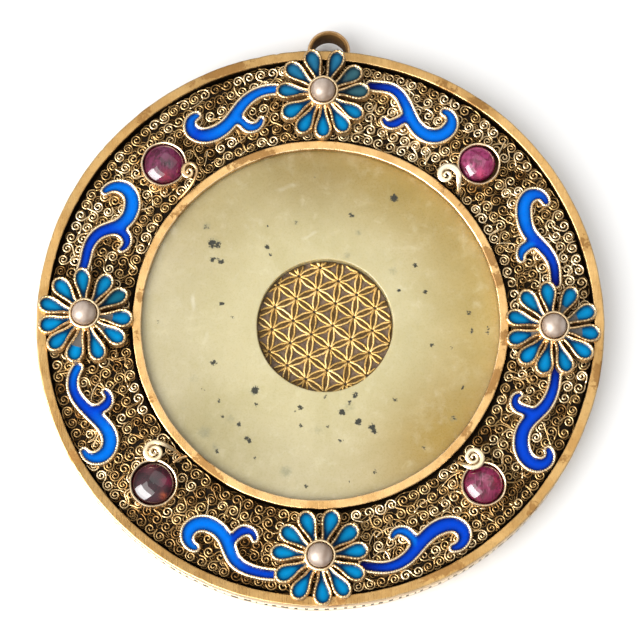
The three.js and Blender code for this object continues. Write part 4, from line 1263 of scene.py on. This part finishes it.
for i, (main, branch) in enumerate(SCROLLS):
    cm, cb = bend(main, 44), bend(branch, 14)
    both = np.concatenate([cm, cb])
    lo, hi = both[:, :2].min(0) - 2.2, both[:, :2].max(0) + 2.2
    xs, ys = np.arange(lo[0], hi[0], 0.15), np.arange(lo[1], hi[1], 0.15)
    GX, GY = np.meshgrid(xs, ys)
    P = np.stack([GX.ravel(), GY.ravel()], -1)
    ha, _ = ribbon_field(P, cm, WIDTH)
    hb, _ = ribbon_field(P, cb, BRANCH)
    kf = 0.5
    H = (np.maximum(ha, hb) + np.maximum(kf - np.abs(ha - hb), 0) ** 2 / (4 * kf)).reshape(GX.shape)
    wire_loop = smoothed(resample(contour(xs, ys, H.copy(), 0.25), 0.10), 4)
    glass_loop = resample(smoothed(resample(contour(xs, ys, H.copy(), 0.40), 0.12), 3), 0.22)
    tray, glass = Build(), Build()
    # the tray and its flank in the darker gilt, painted shade beside the border
    V, F, d = slab(resample(wire_loop, 0.3), 0.9, lambda Q, d: np.full(len(Q), 5.58), 4.9)
    tray.add(V, F, 1, (0.75, 0.3, 0))
    wall = resample(wire_loop, 0.21)
    rows4 = [np.column_stack([inset(wall, d_), np.full(len(wall), z_)]) for d_, z_ in ((-0.34, 4.95), (-0.20, 5.82), (0.16, 5.82), (0.18, 5.45))]
    tray.add(np.concatenate(rows4), ring_faces(4, len(wall), close_rows=True), 1, (0.35, 0.3, 0))
    # the border wire, twisted, its notches deeper on the outward bends, with painted shade in the notches and on its
    # low side
    wire = resample(wire_loop, 0.105)
    T = np.roll(wire, -5, 0) - wire
    T2 = wire - np.roll(wire, 5, 0)
    outward = np.clip((T2[:, 0] * T[:, 1] - T2[:, 1] * T[:, 0]) / 0.06, 0, 1)
    P3 = np.column_stack([wire, 5.93 + 0.015 * np.sin(np.arange(len(wire)) * 0.13)])
    v, f, g = tube(P3, 0.262, 7, closed=True, tall=1.12, pitch=0.40, amp=(0.05 + 0.08 * outward)[:, None])
    low = np.clip((5.93 - v[:, 2]) / 0.24, 0, 1)
    tray.add(v, f, 0, np.stack([np.clip(g * (0.35 + 0.45 * np.repeat(outward, 7)) + low * 0.9, 0, 1.1), np.full(len(v), 0.72), 0 * g], -1))
    tray.make(f"scroll_{i + 1}_tray", [PALE, BACK], "pale_gilt", [f"scroll_{i + 1}"], sharp=55)
    V, F, d = slab(glass_loop, 0.27, lambda Q, d: 5.70 + 0.16 * np.exp(-d / 0.17) - 0.02 * np.clip(d / 0.7, 0, 1), 5.60)
    d = np.tile(d, 2)
    h1, t1 = ribbon_field(V[:, :2], cm, WIDTH)
    h2, t2 = ribbon_field(V[:, :2], cb, BRANCH)
    stops, side = SHADES[i]
    stops = np.array(stops)
    paint = np.stack([along(stops[:, q], t1) for q in range(3)], -1)
    share = np.clip((h2 - h1) / 0.8 + 0.5, 0, 1)[:, None]
    paint = paint * (1 - share) + side * share
    glass.add(V, F, 0, np.stack([0 * d, np.clip(1.45 * np.exp(-d / 0.36), 0, 1), np.exp(-d / 0.09)], -1), paint)
    glass.make(f"scroll_{i + 1}_enamel", [ENAMEL], "cobalt_enamel", [f"scroll_{i + 1}"], sharp=60)


# ------------------------------------------------------------------ collets, cabochons, tendrils
STONE_LOOK = [  # colour, how pale its streaks, shift of the stone in its collet, then patches: x, y, size, colour, strength
    dict(col=(0.37, 0.040, 0.150), pale=0.80, shift=(-0.20, 0.12), patches=((0.4, -2.0, 0.8, (0.60, 0.035, 0.13), 0.8), (1.8, -0.8, 0.9, (0.30, 0.02, 0.09), 0.7), (-1.3, 1.6, 1.0, (0.30, 0.05, 0.15), 0.6))),
    dict(col=(0.165, 0.010, 0.062), pale=0.20, shift=(0.0, 0.02), patches=((0.0, 2.1, 1.1, (0.17, 0.045, 0.10), 0.8), (1.9, 0.2, 1.1, (0.17, 0.006, 0.040), 0.8), (0.3, -2.1, 1.0, (0.30, 0.006, 0.030), 0.9), (1.0, -0.3, 0.75, (0.012, 0.001, 0.004), 0.9), (-0.6, -0.9, 0.9, (0.09, 0.004, 0.03), 0.6))),
    # on this stone the hazy patch at the top is a painted reflection and the orange patch low right a painted glow
    dict(col=(0.040, 0.0015, 0.0085), pale=0.0, shift=(0.0, 0.0), patches=((2.0, 0.3, 1.0, (0.17, 0.003, 0.034), 0.9), (-0.3, 2.2, 1.1, (0.13, 0.036, 0.045), 0.85), (1.6, -2.0, 0.5, (0.45, 0.09, 0.02), 0.7), (0.2, 0.1, 1.0, (0.010, 0.0005, 0.002), 0.8))),
    dict(col=(0.235, 0.012, 0.070), pale=0.40, shift=(0.0, 0.05), patches=((1.7, 0.3, 1.1, (0.36, 0.022, 0.065), 0.7), (-1.2, 1.4, 1.0, (0.13, 0.008, 0.035), 0.7), (0.2, -1.9, 1.0, (0.17, 0.008, 0.04), 0.7), (0.2, 0.8, 0.5, (0.50, 0.09, 0.20), 0.5))),
]
for i, s in enumerate(STONES):
    R0 = s["collet"]
    c_ = Build()
    prof = [(0.001, 5.0), (R0 + 0.06, 5.0), (R0 + 0.04, 5.4), (R0, 6.3), (R0, 7.1), (R0 - 0.04, 7.32), (R0 - 0.14, 7.44), (R0 - 0.30, 7.42), (R0 - 0.40, 7.28), (R0 - 0.42, 6.9), (R0 - 0.42, 5.65), (0.001, 5.65)]
    v, f, (R, A, Z) = lathe(prof, 96, (s["x"], s["y"]), wobble=lambda R, A, Z: (np.where(R > 1, 0.035 * np.sin(3 * A + i) + 0.02 * np.sin(8 * A + 2 * i), 0), np.where(Z > 6.8, 0.03 * np.sin(5 * A + i), 0)))
    # painted shade inside the collet and on its lower wall, and a paler top lip, a painted highlight
    painted_shade = np.where(Z > 7.25, 0.0, np.where(R < R0 - 0.25, 1.1, np.clip((6.2 - Z) / 1.2, 0, 1) * 0.8))
    c_.add(v, f, 0, np.stack([painted_shade, np.where(Z > 7.2, 0.72, 0.42), 0 * painted_shade], -1).reshape(-1, 3))
    c_.make(f"collet_{i + 1}_wall", [PALE], "pale_gilt", [f"collet_{i + 1}"], sharp=55)

    look = STONE_LOOK[i]
    g_ = Build()
    Rs = s["stone"] + 0.02
    cx, cy = s["x"] + look["shift"][0], s["y"] + look["shift"][1]
    rows_ = [(0.001, 5.75), (Rs * 0.98, 5.75), (Rs, 6.2), (Rs, 6.62)]
    for a in np.linspace(0, math.pi / 2, 30)[1:]:
        rows_.append((max(Rs * math.cos(a), 0.002), 6.62 + 1.68 * math.sin(a)))
    v, f, (R, A, Z) = lathe(rows_, 80, (cx, cy), closed=False,
                            wobble=lambda R, A, Z: (R / Rs * (0.03 * np.sin(3 * A + 2 * i) + 0.02 * np.sin(5 * A + i)), np.where(Z > 6.7, 0.012 * np.sin(2 * A + 2 * R + i), 0)))
    q = R / Rs
    X, Y = R * np.cos(A), R * np.sin(A)
    # painted shade at the rim, and a painted glow towards the middle
    dark = np.clip((q - 0.84) / 0.2, 0, 1) * 0.85
    pale_ = look["pale"] * np.clip(1.15 - q, 0, 1)
    paint = np.broadcast_to(np.array(look["col"]), (*R.shape, 3)).copy()
    for ox, oy, size, colour, strength in look["patches"]:
        share = strength * np.exp(-((X - ox) ** 2 + (Y - oy) ** 2) / size ** 2)[..., None]
        paint = paint + (np.array(colour) - paint) * share
    g_.add(v, [f, np.arange(80)[None, ::-1], ((len(rows_) - 1) * 80 + np.arange(80))[None, :]], 0, np.stack([pale_, dark, 0 * q], -1).reshape(-1, 3), paint.reshape(-1, 3))
    g_.make(f"stone_{i + 1}_cabochon", [GARNET], "garnet", [f"stone_{i + 1}"], sharp=70)

    # the tendril: a strap wound into a curl, its tail bent down to the panel
    t_ = Build()
    radii, halves = s["curl"]
    quarters = len(radii) - 1
    t = np.linspace(0, 1, 16 * quarters + 1)                 # from the middle of the curl to where the tail leaves
    r = along(radii[::-1], t)
    w = along(halves[::-1], t)
    for _ in range(10):
        r[1:-1] = 0.25 * r[:-2] + 0.5 * r[1:-1] + 0.25 * r[2:]
        w[1:-1] = 0.25 * w[:-2] + 0.5 * w[1:-1] + 0.25 * w[2:]
    a = math.radians(s["exit"]) + (1 - t) * quarters * math.pi / 2
    path = np.column_stack([s["turn"][0] + r * np.cos(a), s["turn"][1] + r * np.sin(a), 8.22 + 0.10 * (1 - t), w])
    px, py = path[-1, :2]
    leave = math.radians(s["exit"]) - math.pi / 2
    reach = math.hypot(s["end"][0] - px, s["end"][1] - py)
    kx, ky = px + math.cos(leave) * reach * 0.45, py + math.sin(leave) * reach * 0.45
    t = np.linspace(0, 1, 26)[1:]
    tail = np.column_stack([(1 - t) ** 2 * px + 2 * t * (1 - t) * kx + t * t * s["end"][0], (1 - t) ** 2 * py + 2 * t * (1 - t) * ky + t * t * s["end"][1], 8.22 - 2.7 * t ** 2.4, w[-1] + (0.26 - w[-1]) * t])
    path = resample(np.concatenate([path, tail]), 0.09, closed=False)
    share = np.linspace(0, 1, len(path))
    v, f = strap(path[:, :3], path[:, 3], 0.17 + 0.04 * np.sin(share * math.pi), 16, 2.4)
    # painted shade on the underside of the strap
    low = np.clip((np.concatenate([np.repeat(path[:, 2], 16), path[:1, 2], path[-1:, 2]]) - v[:, 2]) / 0.16, 0, 1)
    bright = along(s["pale"], np.concatenate([np.repeat(share, 16), [0, 1]]))
    t_.add(v, f, 0, np.stack([low * 0.65, bright, 0 * low], -1))
    if i == 2:                                               # a second short brown strap beside it
        t = np.linspace(0, 1, 20)
        path = np.column_stack([-23.04 + 2.18 * t, -22.52 + 1.04 * t + 0.25 * np.sin(math.pi * t), 6.2 - 0.5 * t])
        v, f = strap(path, 0.27, 0.15, 12, 2.4)
        t_.add(v, f, 0, (0.25, 0.12, 0))
    t_.make(f"tendril_{i + 1}_strap", [PALE], "pale_gilt", [f"tendril_{i + 1}"])


# ------------------------------------------------------------------ floor
me = bpy.data.meshes.new("floor")
s_ = 1.6
me.from_pydata([(-s_, -s_, -0.00003), (s_, -s_, -0.00003), (s_, s_, -0.00003), (-s_, s_, -0.00003)], [], [(0, 1, 2, 3)])
me.materials.append(FLOOR)
floor = bpy.data.objects.new("floor", me)
bpy.context.scene.collection.objects.link(floor)
floor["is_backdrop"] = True

low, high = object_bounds()
